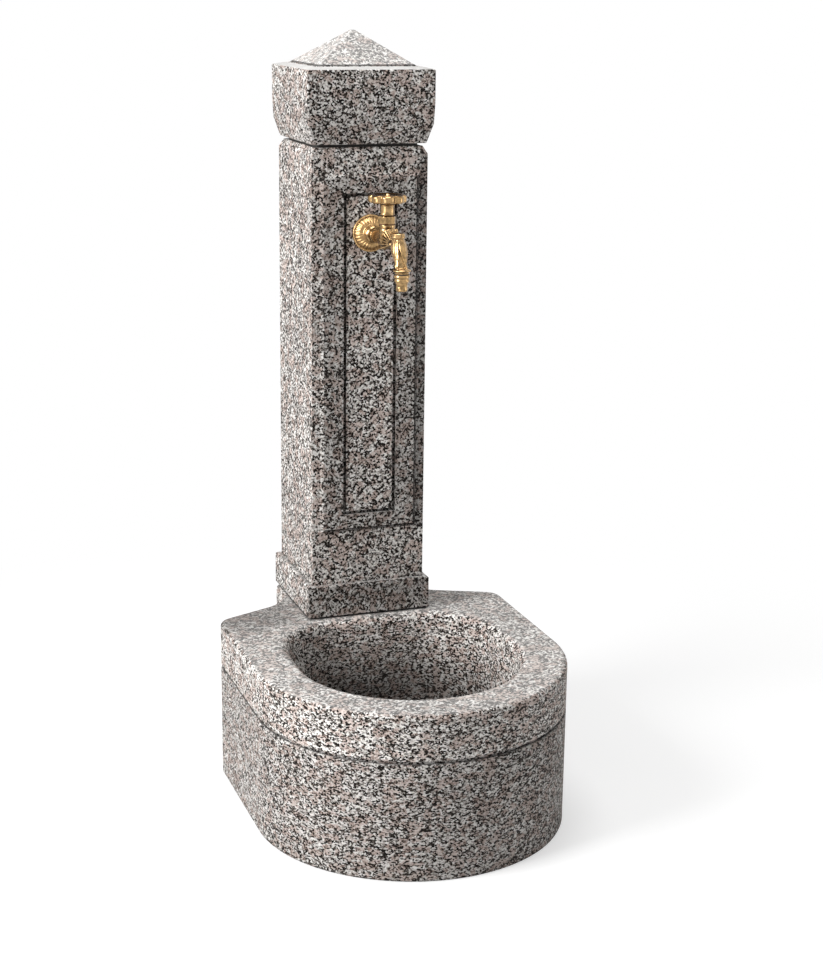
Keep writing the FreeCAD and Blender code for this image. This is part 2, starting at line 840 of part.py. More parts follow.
def make_tap_body():
    """Brass casting: inlet tail and neck, valve tower, shell, arm and sculpted spout."""
    shoulder_end = rosette_depth + shoulder_length
    swell = tap_reach - tower_diameter / 2 - inlet_swell_gap
    tail = [(0, rosette_depth - inlet_tail), (pipe_thread, rosette_depth - inlet_tail)]
    tail += [(pipe_thread, rosette_depth), (shoulder_diameter, rosette_depth)]
    tail += [(shoulder_diameter, shoulder_end - shoulder_bevel)]
    tail += [(shoulder_diameter - 2 * shoulder_bevel, shoulder_end)]
    tail += [(inlet_neck, shoulder_end + shoulder_fall), (inlet_neck, swell)]
    tail += [(barrel_diameter, swell + inlet_swell), (barrel_diameter, tap_reach), (0, tap_reach)]
    root = Vector(0, valve_y, tap_z)
    arm = rod(root, Vector(0, spout_y, tap_z), arm_diameter)
    tower = cylinder(tower_diameter, tap_z, tower_top, valve_y)
    tower = tower.fuse(Part.makeSphere(tower_diameter / 2, root))
    body = fuse_all([faced(turned(tail)), tower, arm])
    body = fuse_all([body] + shell_solids())
    body = fuse_all([body] + spout_solids())
    return body.cut(body_passages())


def shell_solids():
    """Scallop between tower and spout: a thick fan with raised ribs on both faces."""
    hinge_y = spout_y + shell_hinge
    hinge_z = tap_z - shell_hinge_drop
    sweep = shell_last_angle - shell_first_angle
    half = shell_thickness / 2
    rim = [(hinge_y - shell_root, hinge_z - shell_root / 2)]
    for i in range(2 * shell_ribs + 1):
        a = math.radians(shell_first_angle + sweep * i / (2 * shell_ribs))
        rim.append((hinge_y + shell_length * math.cos(a), hinge_z + shell_height * math.sin(a)))
    solids = [skin([[Vector(x, y, z) for y, z in rim] for x in (-half, half)])]
    spread = math.radians(sweep / (shell_ribs - 1)) * shell_rib_fill
    for i in range(shell_ribs):
        share = i / (shell_ribs - 1)
        a = math.radians(shell_first_angle + shell_rib_margin + (sweep - 2 * shell_rib_margin) * share)
        for side in (-1, 1):
            foot = side * (half - shell_rib_root)
            sections = []
            for reach in shell_rib_stations:
                crest = side * (half + shell_rib_height * reach)
                sections.append([Vector(x, hinge_y + shell_length * reach * math.cos(b),
                                        hinge_z + shell_height * reach * math.sin(b))
                                 for x, b in ((foot, a - spread), (crest, a), (foot, a + spread))])
            solids.append(skin(sections))
    return solids


def spout_solids():
    """Collar, faceted swell, leaves and flared lip of the spout."""
    collar_top = tap_z + collar_over_inlet
    collar_low = collar_top - collar_height
    lip_top = spout_end_z + lip_height
    swell_y = spout_y - spout_swell_lean
    band = [(0, collar_low), (spout_neck, collar_low), (collar_diameter, collar_low + collar_bevel)]
    band += [(collar_diameter, collar_top - 2 * collar_bevel), (spout_neck, collar_top - collar_bevel)]
    band += [(spout_neck / 2, collar_top), (0, collar_top)]
    rings = [spout_ring(spout_neck, spout_y, collar_low + collar_bevel / 2)]
    rings += [spout_ring((spout_neck + spout_swell) / 2, spout_y - spout_neck_lean,
                         collar_low - spout_neck_drop)]
    rings += [spout_ring(spout_swell, swell_y, collar_low - spout_swell_drop)]
    rings += [spout_ring(spout_waist, spout_y - spout_waist_lean, lip_top + spout_waist_rise)]
    rings += [spout_ring(spout_waist, nozzle_y, lip_top - lip_edge)]
    foot = nozzle_band - 2 * nozzle_washer_inset
    lip = [(0, spout_end_z), (foot, spout_end_z), (foot, spout_end_z + lip_height / 2)]
    lip += [(lip_diameter, lip_top - 2 * lip_edge), (lip_diameter, lip_top - lip_edge)]
    lip += [(spout_waist, lip_top), (0, lip_top)]
    solids = [turned(band, spout_y), skin(rings), turned(lip, nozzle_y)]
    for angle in (-90, -30, -150, 90):
        solids.append(spout_leaf(angle, swell_y, collar_low, spout_end_z + lip_height / 2))
    return solids


def body_passages():
    """Waterways, seat, chamber and threads inside the casting."""
    tail_end = field_y - rosette_depth + inlet_tail
    turn = Vector(0, valve_y + chamber_diameter, tap_z)
    under_seat = Vector(0, valve_y, tap_z - seat_passage_drop)
    cuts = [rod(Vector(0, tail_end, tap_z), turn, inlet_bore)]
    cuts += [way(turn, under_seat, passage)]
    cuts += [cylinder(seat_bore, under_seat.z - passage / 2, seat_z, valve_y)]
    rim = seat_bore + 2 * seat_rim
    cuts += [ring(chamber_diameter, rim, seat_z - seat_rim, seat_z, valve_y)]
    thread_low = tower_top - bonnet_thread_length - gasket_thickness
    cuts += [cylinder(chamber_diameter, seat_z, thread_low, valve_y)]
    cuts += [clear_hole(bonnet_thread, thread_low, tower_top, valve_y)]
    leave = Vector(0, valve_y - chamber_diameter / 4, tap_z + chamber_outlet_rise)
    arrive = Vector(0, spout_y, tap_z)
    thread_top = spout_end_z + nozzle_thread_length + running_clearance
    waist = Vector(0, spout_y - spout_waist_lean, thread_top)
    cuts += [way(leave, arrive, passage), way(arrive, waist, passage)]
    return cuts + [clear_hole(nozzle_thread, spout_end_z, thread_top, nozzle_y)]


def make_outlet_nozzle():
    """Screwed-in mouth of the spout: thread, beaded band and plain tip."""
    band_top = spout_end_z - nozzle_washer_thickness
    band_low = band_top - nozzle_band_height
    tip = band_low - nozzle_length
    throat = (nozzle_band + nozzle_diameter) / 2
    profile = [(nozzle_bore, tip), (nozzle_diameter, tip), (nozzle_diameter, band_low - nozzle_throat)]
    profile += [(throat, band_low), (nozzle_band, band_low + nozzle_band_bevel)]
    profile += [(nozzle_band - 2 * nozzle_groove, band_low + nozzle_groove_height)]
    profile += [(nozzle_band + 2 * nozzle_bead, band_low + nozzle_bead_height)]
    profile += [(nozzle_band, band_top), (nozzle_thread, band_top)]
    profile += [(nozzle_thread, spout_end_z + nozzle_thread_length)]
    profile += [(nozzle_bore, spout_end_z + nozzle_thread_length)]
    return turned(profile, nozzle_y)


def make_nozzle_washer():
    """Flat seal between spout and nozzle."""
    low = spout_end_z - nozzle_washer_thickness
    return ring(nozzle_band - 2 * nozzle_washer_inset, nozzle_thread, low, spout_end_z, nozzle_y)


def make_bonnet_gasket():
    """Fibre ring between tower and bonnet."""
    return ring(tower_diameter, bonnet_thread, tower_top, bonnet_z, valve_y)


def make_bonnet():
    """Headwork: thread and skirt, hexagon, neck with stuffing box, square guide below."""
    skirt = tower_top - bonnet_thread_length
    neck_top = bonnet_top + bonnet_neck_height
    bonnet = cylinder(bonnet_thread, skirt, bonnet_z, valve_y)
    bonnet = bonnet.fuse(hexagon(bonnet_flats, bonnet_z, bonnet_top, valve_y))
    bonnet = bonnet.fuse(cylinder(bonnet_neck, bonnet_top, neck_top, valve_y))
    floor = stuffing_z - stuffing_floor
    bonnet = bonnet.cut(square_block(guide_side, skirt, floor, valve_y))
    shaft_hole = spindle_diameter + 2 * running_clearance
    bonnet = bonnet.cut(cylinder(shaft_hole, floor, stuffing_z, valve_y))
    return bonnet.cut(cylinder(stuffing_bore, stuffing_z, neck_top, valve_y))


def packing_low():
    """Level of the packing's underside, just over the spindle's collar."""
    return stuffing_z + spindle_collar + 2 * running_clearance


def make_gland_packing():
    """Soft ring squeezed round the spindle in the stuffing box."""
    inner = spindle_diameter + 2 * running_clearance
    return ring(stuffing_bore, inner, packing_low(), packing_low() + packing_height, valve_y)


def make_gland_nut():
    """Round cap nut over the bonnet's neck, its boss pressing the packing."""
    neck_top = bonnet_top + bonnet_neck_height
    ceiling = neck_top + gland_headroom
    profile = [(0, gland_z), (gland_diameter, gland_z), (gland_diameter, gland_top - gland_bevel)]
    profile += [(gland_diameter - 2 * gland_bevel, gland_top), (0, gland_top)]
    nut = turned(profile, valve_y)
    hollow = clear_hole(bonnet_neck, gland_z, ceiling, valve_y)
    boss_low = packing_low() + packing_height
    boss = cylinder(stuffing_bore - 2 * thread_clearance, boss_low, ceiling, valve_y)
    nut = nut.cut(hollow).fuse(boss)
    return nut.cut(cylinder(spindle_diameter + 2 * free_clearance, boss_low, gland_top, valve_y))


def make_spindle():
    """Turned spindle: screw below, journal, collar, stem and square for the handwheel."""
    journal_z = jumper_top + valve_lift + free_clearance
    thread_low = jumper_bore_z + valve_lift + free_clearance
    collar_low = stuffing_z + running_clearance
    collar_top = collar_low + spindle_collar
    collar = stuffing_bore - 2 * free_clearance
    profile = [(0, thread_low), (spindle_thread, thread_low)]
    profile += [(spindle_thread, journal_z), (spindle_diameter, journal_z)]
    profile += [(spindle_diameter, collar_low), (collar, collar_low), (collar, collar_top)]
    profile += [(spindle_diameter, collar_top), (spindle_diameter, wheel_z), (0, wheel_z)]
    spindle = turned(profile, valve_y)
    spindle = spindle.fuse(square_block(wheel_square, wheel_z, wheel_top - wheel_dish, valve_y))
    screw_bottom = wheel_top - wheel_dish - wheel_screw_length
    return spindle.cut(clear_hole(wheel_screw_diameter, screw_bottom, wheel_top, valve_y))


def make_jumper():
    """Square nut on the spindle's screw, with the flange that carries the washer."""
    jumper = cylinder(jumper_flange, jumper_z, jumper_z + jumper_flange_thickness, valve_y)
    jumper = jumper.fuse(square_block(guide_side - 2 * guide_clearance, jumper_z, jumper_top, valve_y))
    nut = cylinder(spindle_thread + 2 * free_clearance, jumper_bore_z, jumper_top, valve_y)
    return jumper.cut([nut, clear_hole(washer_screw_diameter, jumper_z, jumper_bore_z, valve_y)])


def make_jumper_washer():
    """Rubber disc that closes the seat."""
    hole = washer_screw_diameter + 2 * thread_clearance
    return ring(jumper_washer_diameter, hole, seat_z, seat_z + jumper_washer_thickness, valve_y)


def make_washer_screw():
    """Screw that holds the rubber disc, its head hanging in the seat's hole."""
    head_low = seat_z - washer_screw_head_height
    tip = seat_z + washer_screw_length
    profile = [(0, head_low), (washer_screw_head, head_low)]
    profile += [(washer_screw_head, seat_z), (washer_screw_diameter, seat_z)]
    profile += [(washer_screw_diameter, tip), (0, tip)]
    return turned(profile, valve_y)


def make_handwheel():
    """Lobed handwheel, rounded at its rims and dished on top round a raised hub."""
    step = math.pi / wheel_lobes
    root = wheel_diameter / 2 - wheel_notch_depth
    point = wheel_diameter / 2
    for i in range(5):
        half = math.atan2(root * math.sin(step), point - root * math.cos(step))
        point = wheel_diameter / 2 + wheel_lobe_radius * (1 / math.sin(half) - 1)
    corners = []
    for i in range(wheel_lobes):
        crown = 2 * i * step
        notch = crown + step
        corners.append((point * math.cos(crown), point * math.sin(crown), wheel_lobe_radius))
        corners.append((root * math.cos(notch), root * math.sin(notch), wheel_notch_radius))
    wheel = prism(rounded(corners, wheel_z), wheel_height)
    wheel = wheel.makeChamfer(wheel_bevel, edges_at(wheel, wheel_top) + edges_at(wheel, wheel_z))
    floor = wheel_dish_diameter - 2 * wheel_slope
    dish = [(0, wheel_top - wheel_dish), (floor, wheel_top - wheel_dish)]
    dish += [(wheel_dish_diameter, wheel_top), (0, wheel_top)]
    under_z = wheel_z + wheel_hollow
    under = [(0, wheel_z), (floor, wheel_z), (floor - 2 * wheel_slope, under_z), (0, under_z)]
    hub = cylinder(wheel_hub, wheel_z, wheel_top - wheel_dish)
    wheel = wheel.cut([turned(dish), turned(under)]).fuse(hub).removeSplitter()
    wheel = wheel.cut(square_block(wheel_square + 2 * thread_clearance, wheel_z, wheel_top, 0))
    wheel.translate(Vector(0, valve_y, 0))
    return wheel


def make_handwheel_screw():
    """Round-head screw on the handwheel's hub."""
    low = wheel_top - wheel_dish
    head = wheel_screw_head
    high = low + wheel_screw_head_height
    tip = low - wheel_screw_length + wheel_screw_room
    profile = [(0, tip), (wheel_screw_diameter, tip), (wheel_screw_diameter, low), (head, low)]
    profile += [(head, low + wheel_screw_head_height / 3), (head / 2, high), (0, high)]
    screw = turned(profile, valve_y)
    slot = Part.makeBox(head, wheel_screw_slot, wheel_screw_slot)
    slot.translate(Vector(-head / 2, valve_y - wheel_screw_slot / 2, high - wheel_screw_slot))
    return screw.cut(slot)


ends = compression_ends()

save("basin", make_basin())
save("column_bed", make_column_bed())
save("column", make_column())
save("cap_bed", make_cap_bed())
save("cap", make_cap())
save("column_dowels", make_column_dowels())
save("cap_dowel", make_cap_dowel())
save("extension_piece", make_extension_piece())
save("tap_elbow", make_tap_elbow())
save("riser_pipe", make_riser_pipe())
save("inlet_adaptor", make_inlet_adaptor())
save("compression_nuts", Part.makeCompound([compression_nut(mouth, side) for mouth, side in ends]))
save("olives", Part.makeCompound([olive(mouth, side) for mouth, side in ends]))
save("waste_body", make_waste_body())
save("waste_gasket", make_waste_gasket())
save("waste_washer", make_waste_washer())
save("waste_lock_nut", make_waste_lock_nut())
save("strainer_grate", make_strainer_grate())
save("strainer_screw", make_strainer_screw())
save("rosette", make_rosette())
save("tap_body", make_tap_body())
save("outlet_nozzle", make_outlet_nozzle())
save("nozzle_washer", make_nozzle_washer())
save("bonnet_gasket", make_bonnet_gasket())
save("bonnet", make_bonnet())
save("gland_packing", make_gland_packing())
save("gland_nut", make_gland_nut())
save("spindle", make_spindle())
save("jumper", make_jumper())
save("jumper_washer", make_jumper_washer())
save("washer_screw", make_washer_screw())
save("handwheel", make_handwheel())
save("handwheel_screw", make_handwheel_screw())
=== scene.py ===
import json
import math

import bmesh
import bpy
from bpy.props import FloatProperty, FloatVectorProperty, IntProperty, PointerProperty
from mathutils import Matrix, Vector, noise


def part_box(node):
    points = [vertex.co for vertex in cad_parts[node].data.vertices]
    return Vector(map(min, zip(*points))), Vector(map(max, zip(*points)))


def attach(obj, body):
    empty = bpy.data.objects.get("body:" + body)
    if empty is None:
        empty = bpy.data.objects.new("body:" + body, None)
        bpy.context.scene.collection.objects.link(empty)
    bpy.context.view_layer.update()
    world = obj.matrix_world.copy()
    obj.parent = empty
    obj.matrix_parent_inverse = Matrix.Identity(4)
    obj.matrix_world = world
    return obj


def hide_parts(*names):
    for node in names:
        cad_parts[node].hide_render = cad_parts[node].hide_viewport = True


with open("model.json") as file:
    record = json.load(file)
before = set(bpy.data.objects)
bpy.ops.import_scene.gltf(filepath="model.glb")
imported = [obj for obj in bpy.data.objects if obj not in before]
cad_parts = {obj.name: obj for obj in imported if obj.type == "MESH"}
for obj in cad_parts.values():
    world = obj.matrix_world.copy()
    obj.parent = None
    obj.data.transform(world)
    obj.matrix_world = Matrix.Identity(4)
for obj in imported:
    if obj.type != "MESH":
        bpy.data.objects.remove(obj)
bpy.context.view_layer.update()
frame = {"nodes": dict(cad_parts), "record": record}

bl_info = {
    "name": "Granite Garden Fountain",
    "version": (1, 0, 0),
    "blender": (4, 5, 0),
    "location": "View3D > Sidebar > Fountain",
    "description": "Dresses the stones, the brass tap and the drain of a granite garden fountain",
    "category": "Object",
}

MM = 0.001
# Turns the Z axis to the front
FRONT = Matrix.Rotation(math.radians(90), 4, "X")
# Points nearer than this, in metres, are one
MERGE = 0.000002
# Radius, in millimetres, that stands for nothing at the tip of a turned body
POLE = 0.01

# Places in the stones, in metres. Basin: width of its rim, rear of the bowl, depths below its top
BOWL_RIM = 0.065
BOWL_BACK = 0.095
BOWL_DEPTH = 0.150
GROOVE_FOOT = 0.070
# Column: front and half width of its panel, height of the panel's foot, and front of the shaft
PANEL_FRONT = 0.113
PANEL_HALF = 0.075
PANEL_FOOT = 0.129
SHAFT_FRONT = 0.118
# Cap: height of its pyramid
PYRAMID_HEIGHT = 0.048

# Colour of a crystal by its value, from black mica to white feldspar
CRYSTALS = [(0.0, (0.007, 0.005, 0.004)), (0.30, (0.015, 0.011, 0.009)),
            (0.35, (0.08, 0.068, 0.06)), (0.44, (0.165, 0.145, 0.13)),
            (0.48, (0.42, 0.39, 0.37)), (0.60, (0.54, 0.51, 0.49)),
            (0.66, (0.79, 0.77, 0.75)), (0.85, (0.93, 0.925, 0.915))]
# Grey that level faces go to: dust and bush-hammering, with a painted sheen of the top light
DUST_AND_SHEEN_GREY = (0.62, 0.62, 0.62)

# Share of a leaf's length, of its width and of its thickness, and its root's depth in millimetres
LEAF_SHAPE = [(0.0, 0.82, 0.2), (0.1, 0.94, 0.8), (0.25, 1.0, 1.0), (0.42, 1.0, 1.0),
              (0.56, 0.88, 1.0), (0.68, 0.69, 1.0), (0.79, 0.48, 1.0), (0.88, 0.3, 1.1),
              (0.95, 0.16, 1.2), (1.0, 0.04, 1.2)]
LEAF_ROOT = 3.2

# Name, place, aim and size in metres, and power in watts
LAMPS = [("left_softbox", (-3.15, -0.52, 2.0), (0, 0.1, 0.6), (1.6, 2.4), 147.0),
         ("front_softbox", (0.6, -3.6, 2.6), (0, 0, 0.5), (1.8, 1.8), 2.0),
         ("low_softbox", (-2.3, -1.35, 0.42), (0, 0, 0.75), (1.5, 0.6), 7.5),
         ("right_rim", (2.4, -1.2, 1.6), (0.1, 0.0, 0.3), (1.2, 1.8), 6.0),
         ("right_low", (2.3, -0.9, 0.45), (0, 0, 0.75), (0.6, 0.6), 3.5),
         ("top_softbox", (0.0, 0.2, 3.4), (0, 0, 0.5), (1.6, 1.6), 56.0)]


# Sizes and colours a user would change

class FountainStone(bpy.types.PropertyGroup):
    """Granite of the three stones."""
    grain: FloatProperty(name="Grain", description="Size of the small crystals",
                         default=0.0025, unit="LENGTH")
    crystal: FloatProperty(name="Large crystal", description="Size of the large feldspar crystals",
                           default=0.0110, unit="LENGTH")
    edge: FloatProperty(name="Edge rounding", description="Softening of the sawn edges",
                        default=0.0018, unit="LENGTH")
    rose: FloatVectorProperty(name="Rose feldspar", description="Colour of the large crystals",
                              default=(0.50, 0.36, 0.31), subtype="COLOR")
    unevenness: FloatProperty(name="Unevenness", description="Depth of the hand-worked waviness",
                              default=0.0006, unit="LENGTH")


class FountainBrass(bpy.types.PropertyGroup):
    """Brass of the tap."""
    polished: FloatVectorProperty(name="Polished brass", description="Colour of the polished tap",
                                  default=(0.455, 0.295, 0.138), subtype="COLOR")
    plumbing: FloatVectorProperty(name="Plumbing brass", description="Colour of the fittings",
                                  default=(0.62, 0.46, 0.22), subtype="COLOR")
    roughness: FloatProperty(name="Roughness", description="Roughness of the polished tap",
                             default=0.17, min=0.02, max=1.0)
    detail: FloatProperty(name="Casting detail", description="Finest detail kept in the casting",
                          default=0.00050, unit="LENGTH")


class FountainTap(bpy.types.PropertyGroup):
    """Counts of the ornaments on the tap."""
    rosette_ribs: IntProperty(name="Rosette ribs", description="Ribs round the rosette",
                              default=28, min=8, max=60)
    rosette_beads: IntProperty(name="Rosette beads", description="Beads on the rosette's rim",
                               default=44, min=8, max=90)
    shell_ribs: IntProperty(name="Shell ribs", description="Ribs on each side of the shell",
                            default=7, min=3, max=16)
    wheel_lobes: IntProperty(name="Handwheel lobes", description="Finger lobes of the handwheel",
                             default=8, min=3, max=12)
    spout_leaves: IntProperty(name="Spout leaves", description="Large leaves laid down the spout",
                              default=4, min=3, max=8)


class FountainStage(bpy.types.PropertyGroup):
    """Camera, floor and light."""
    lens: FloatProperty(name="Lens", description="Focal length of the camera", default=69.2,
                        subtype="DISTANCE_CAMERA")
    eye: FloatVectorProperty(name="Eye", description="Place of the camera",
                             default=(-0.8285, -2.4085, 1.174), subtype="TRANSLATION")
    yaw: FloatProperty(name="Yaw", description="Turn of the camera to the right", default=0.341,
                       subtype="ANGLE")
    pitch: FloatProperty(name="Pitch", description="Downward tilt of the camera", default=0.266,
                         subtype="ANGLE")
    roll: FloatProperty(name="Roll", description="Turn of the camera about its line of sight",
                        default=0.012, subtype="ANGLE")
    floor: FloatVectorProperty(name="Floor", description="Colour of the floor",
                               default=(0.62, 0.62, 0.62), subtype="COLOR")
    ambient: FloatProperty(name="Ambient", description="Light from all round", default=0.14)


# Node trees

# Sockets of the Mix node that take and give colours
COLOR_A, COLOR_B, COLOR_OUT = 6, 7, 2


class Socket:
    """An output of a node that can stand in a Python expression."""

    def __init__(self, tree, socket):
        self.tree = tree
        self.socket = socket

    def __add__(self, other):
        return self.tree.math_of("ADD", self, other)

    def __radd__(self, other):
        return self.tree.math_of("ADD", other, self)

    def __sub__(self, other):
        return self.tree.math_of("SUBTRACT", self, other)

    def __rsub__(self, other):
        return self.tree.math_of("SUBTRACT", other, self)

    def __mul__(self, other):
        return self.tree.math_of("MULTIPLY", self, other)

    def __rmul__(self, other):
        return self.tree.math_of("MULTIPLY", other, self)

    def between(self, low, high):
        """0 below low, 1 above high, and smooth between."""
        settings = {"interpolation_type": "SMOOTHSTEP"}
        values = {"Value": self, "From Min": low, "From Max": high}
        return self.tree.node("ShaderNodeMapRange", settings, values)["Result"]


class Made:
    """The outputs of a node, by name or place."""

    def __init__(self, tree, node):
        self.tree = tree
        self.node = node

    def __getitem__(self, key):
        return Socket(self.tree, self.node.outputs[key])


class Tree:
    """A node tree under construction."""

    def __init__(self, tree):
        self.tree = tree

    def node(self, kind, settings=None, values=None):
        """Add a node of a kind: its settings first, then the values or links of its sockets."""
        made = self.tree.nodes.new(kind)
        for name, value in (settings or {}).items():
            if name == "stops":
                fill_ramp(made.color_ramp, value)
            else:
                setattr(made, name, value)
        for key, value in (values or {}).items():
            if isinstance(value, Socket):
                self.tree.links.new(value.socket, made.inputs[key])
            else:
                made.inputs[key].default_value = value
        return Made(self, made)

    def math_of(self, operation, *terms):
        values = dict(enumerate(terms))
        return self.node("ShaderNodeMath", {"operation": operation}, values)["Value"]

    def vector(self, operation, *terms):
        values = dict(enumerate(terms))
        return self.node("ShaderNodeVectorMath", {"operation": operation}, values)["Vector"]

    def mix(self, factor, *colors, blend="MIX"):
        """Mix of two colours, each a socket or its red, green and blue."""
        first, second = [c if isinstance(c, Socket) else (*c, 1.0) for c in colors]
        settings = {"data_type": "RGBA", "blend_type": blend}
        values = {"Factor": factor, COLOR_A: first, COLOR_B: second}
        return self.node("ShaderNodeMix", settings, values)[COLOR_OUT]

    def axes(self, vector):
        return self.node("ShaderNodeSeparateXYZ", {}, {"Vector": vector})


def fill_ramp(ramp, stops):
    while len(ramp.elements) < len(stops):
        ramp.elements.new(0.5)
    for element, (place, color) in zip(ramp.elements, stops):
        element.position = place
        element.color = (*color, 1.0)


class Finish(Tree):
    """A material whose surface is one Principled shader."""

    def __init__(self, name, values):
        self.material = bpy.data.materials.new(name)
        self.material.use_nodes = True
        super().__init__(self.material.node_tree)
        self.tree.nodes.clear()
        self.surface = self.node("ShaderNodeBsdfPrincipled", {}, values)
        self.node("ShaderNodeOutputMaterial", {}, {"Surface": self.surface["BSDF"]})
        coordinates = self.node("ShaderNodeTexCoord")
        self.place = coordinates["Object"]
        self.facing = coordinates["Normal"]

    def set(self, name, value):
        self.tree.links.new(value.socket, self.surface.node.inputs[name])

    def noise(self, scale, detail=2.0, vector=None):
        values = {"Vector": vector or self.place, "Scale": scale, "Detail": detail}
        return self.node("ShaderNodeTexNoise", {}, values)

    def cells(self, size, vector):
        """Red, green and blue of the random colour of each crystal."""
        values = {"Vector": vector, "Scale": 1 / size}
        color = self.node("ShaderNodeTexVoronoi", {}, values)["Color"]
        return self.node("ShaderNodeSeparateColor", {}, {"Color": color})

    def openness(self, distance, samples):
        """1 on open surfaces, less where others stand within the distance."""
        values = {"Distance": distance}
        return self.node("ShaderNodeAmbientOcclusion", {"samples": samples}, values)["AO"]

    def bump(self, height, depth, strength=1.0):
        values = {"Height": height, "Distance": depth, "Strength": strength}
        self.set("Normal", self.node("ShaderNodeBump", {}, values)["Normal"])


# Finishes

def granite(name, stone, grain, streak, tone, dust_and_sheen, shade):
    """Speckled granite: crisp black, grey and white crystals among patches of rose feldspar.

    streak packs the crystals along Z, tone is how light the stone is, dusty is how far its level
    faces go to grey, partly dust and bush-hammering and partly a painted sheen of the top light,
    and shade gives how much darker a place is, much of it painted shade.
    """
    made = Finish(name, {"Specular IOR Level": 0.12})
    # The crystals, with borders that wander by a millimetre
    wobble = made.vector("SUBTRACT", made.noise(420.0)["Color"], (0.5, 0.5, 0.5))
    drift = made.vector("MULTIPLY", wobble, (0.0020, 0.0020, 0.0020))
    spot = made.vector("MULTIPLY", made.vector("ADD", made.place, drift), (1.0, 1.0, streak))
    small = made.cells(grain, spot)
    fleck = made.cells(grain * 0.6, spot)
    cluster = made.noise(110.0, 2.0, spot)["Fac"]
    value = small["Red"] * 0.80 + cluster * 0.5 + fleck["Red"] * 0.24 - 0.29
    pale = made.node("ShaderNodeValToRGB", {"stops": CRYSTALS}, {"Fac": value})["Color"]
    # Rose feldspar among the pale crystals; level faces go to grey, partly dust and bush-hammering
    # and partly a painted sheen of the top light
    rosy = made.cells(stone.crystal, spot)["Red"].between(0.60, 0.68) * value.between(0.34, 0.42)
    tinted = made.mix(rosy * 0.5, pale, tuple(stone.rose))
    level_dust_and_sheen = made.axes(made.facing)["Z"].between(0.7, 1.0) * dust_and_sheen
    dust_and_sheen_color = made.mix(level_dust_and_sheen, tinted, DUST_AND_SHEEN_GREY)
    # Clouds over the whole stone, painted shade in its corners and recesses, and the darkening
    # that shade gives, much of it painted shade
    broad = made.noise(9.0, 3.0)["Fac"].between(0.3, 0.7) * 0.12
    mottle = made.noise(34.0)["Fac"].between(0.25, 0.75) * 0.14
    corner_shade = (1 - made.openness(0.009, 4).between(0.25, 0.75)) * 0.75
    level = (broad + mottle + tone) * (1 - corner_shade) * (1 - shade(made))
    warm = {"Red": level, "Green": level * 0.985, "Blue": level * 0.965}
    cast = made.node("ShaderNodeCombineColor", {}, warm)["Color"]
    made.set("Base Color", made.mix(1.0, dust_and_sheen_color, cast, blend="MULTIPLY"))
    made.set("Roughness", small["Red"].between(0.0, 0.5) * 0.3 + 0.5)
    pits = made.noise(900.0)["Fac"] * 0.5 + small["Blue"] * 0.8
    made.bump(pits, 0.0005, 0.6)
    return made.material


def basin_shade(made):
    """How much darker the basin is: painted shade in the bowl, darker below its groove, and a
    painted shadow on top to the left of the plinth.
    """
    low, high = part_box("basin")
    place = made.axes(made.place)
    below = high.z - place["Z"]
    # Inside the bowl: within its half circle in front, and within its straight sides behind
    half = high.x - BOWL_RIM
    arc = low.y + BOWL_RIM + half
    ahead = made.math_of("MINIMUM", place["Y"] - arc, 0.0)
    reach = made.math_of("SQRT", place["X"] * place["X"] + ahead * ahead)
    inside = 1 - reach.between(half, half + 0.004)
    inside = inside * (1 - place["Y"].between(BOWL_BACK - 0.001, BOWL_BACK + 0.003))
    # Painted shade in the bowl, deeper towards its floor
    bowl_shade = below.between(0.02, 0.14) * 0.68
    # Darker below the groove
    body = below.between(GROOVE_FOOT - 0.008, GROOVE_FOOT + 0.002) * 0.24
    # Painted shadow on top, to the left of the plinth
    corner = (0 - place["X"]).between(0.08, 0.13) * place["Y"].between(0.04, 0.13)
    corner = corner * (1 - below.between(0.003, 0.010)) * 0.42
    return inside * bowl_shade + (1 - inside) * (body + corner)


def column_shade(made):
    """How much darker the column is: on its panel's band, painted shade on the panel's bevels, and
    a painted shadow to the panel's right.
    """
    place = made.axes(made.place)
    facing = made.axes(made.facing)
    depth = place["Y"]
    band = (1 - depth.between(PANEL_FRONT + 0.0010, PANEL_FRONT + 0.0020)) * 0.30
    # Painted shade on the panel's bevels, most on those turned right and down, away from the key
    # light
    away = (facing["X"].between(0.3, 0.6) + (0 - facing["Z"]).between(0.3, 0.6)
            + (0 - facing["X"]).between(0.3, 0.6) * 0.45)
    bevel = depth.between(PANEL_FRONT - 0.0005, PANEL_FRONT + 0.0003)
    bevel = bevel * (1 - depth.between(SHAFT_FRONT - 0.0004, SHAFT_FRONT + 0.0002))
    # Painted shadow of the raised panel on the strip to its right
    right = place["X"].between(PANEL_HALF - 0.0005, PANEL_HALF + 0.0015)
    right = right * (1 - depth.between(SHAFT_FRONT + 0.0004, SHAFT_FRONT + 0.0010))
    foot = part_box("column")[0].z + PANEL_FOOT
    return band + away * bevel * 0.65 + right * 0.4 * place["Z"].between(foot - 0.006, foot)


def cap_shade(made):
    """How much darker the cap is: a little towards its foot, and a painted shade line round the
    pyramid's foot.
    """
    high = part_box("cap")[1].z
    height = made.axes(made.place)["Z"]
    above = height - (high - PYRAMID_HEIGHT)
    # Painted shade line round the foot of the pyramid
    line = above.between(-0.0004, 0.0002) * (1 - above.between(0.0020, 0.0026))
    return (high - height).between(0.045, 0.09) * 0.14 + line * 0.75


def mortar(name):
    made = Finish(name, {"Roughness": 0.95})
    speck = made.noise(700.0, 4.0)["Fac"]
    made.set("Base Color", made.mix(speck, (0.05, 0.048, 0.045), (0.14, 0.135, 0.125)))
    made.bump(speck, 0.0006)
    return made.material


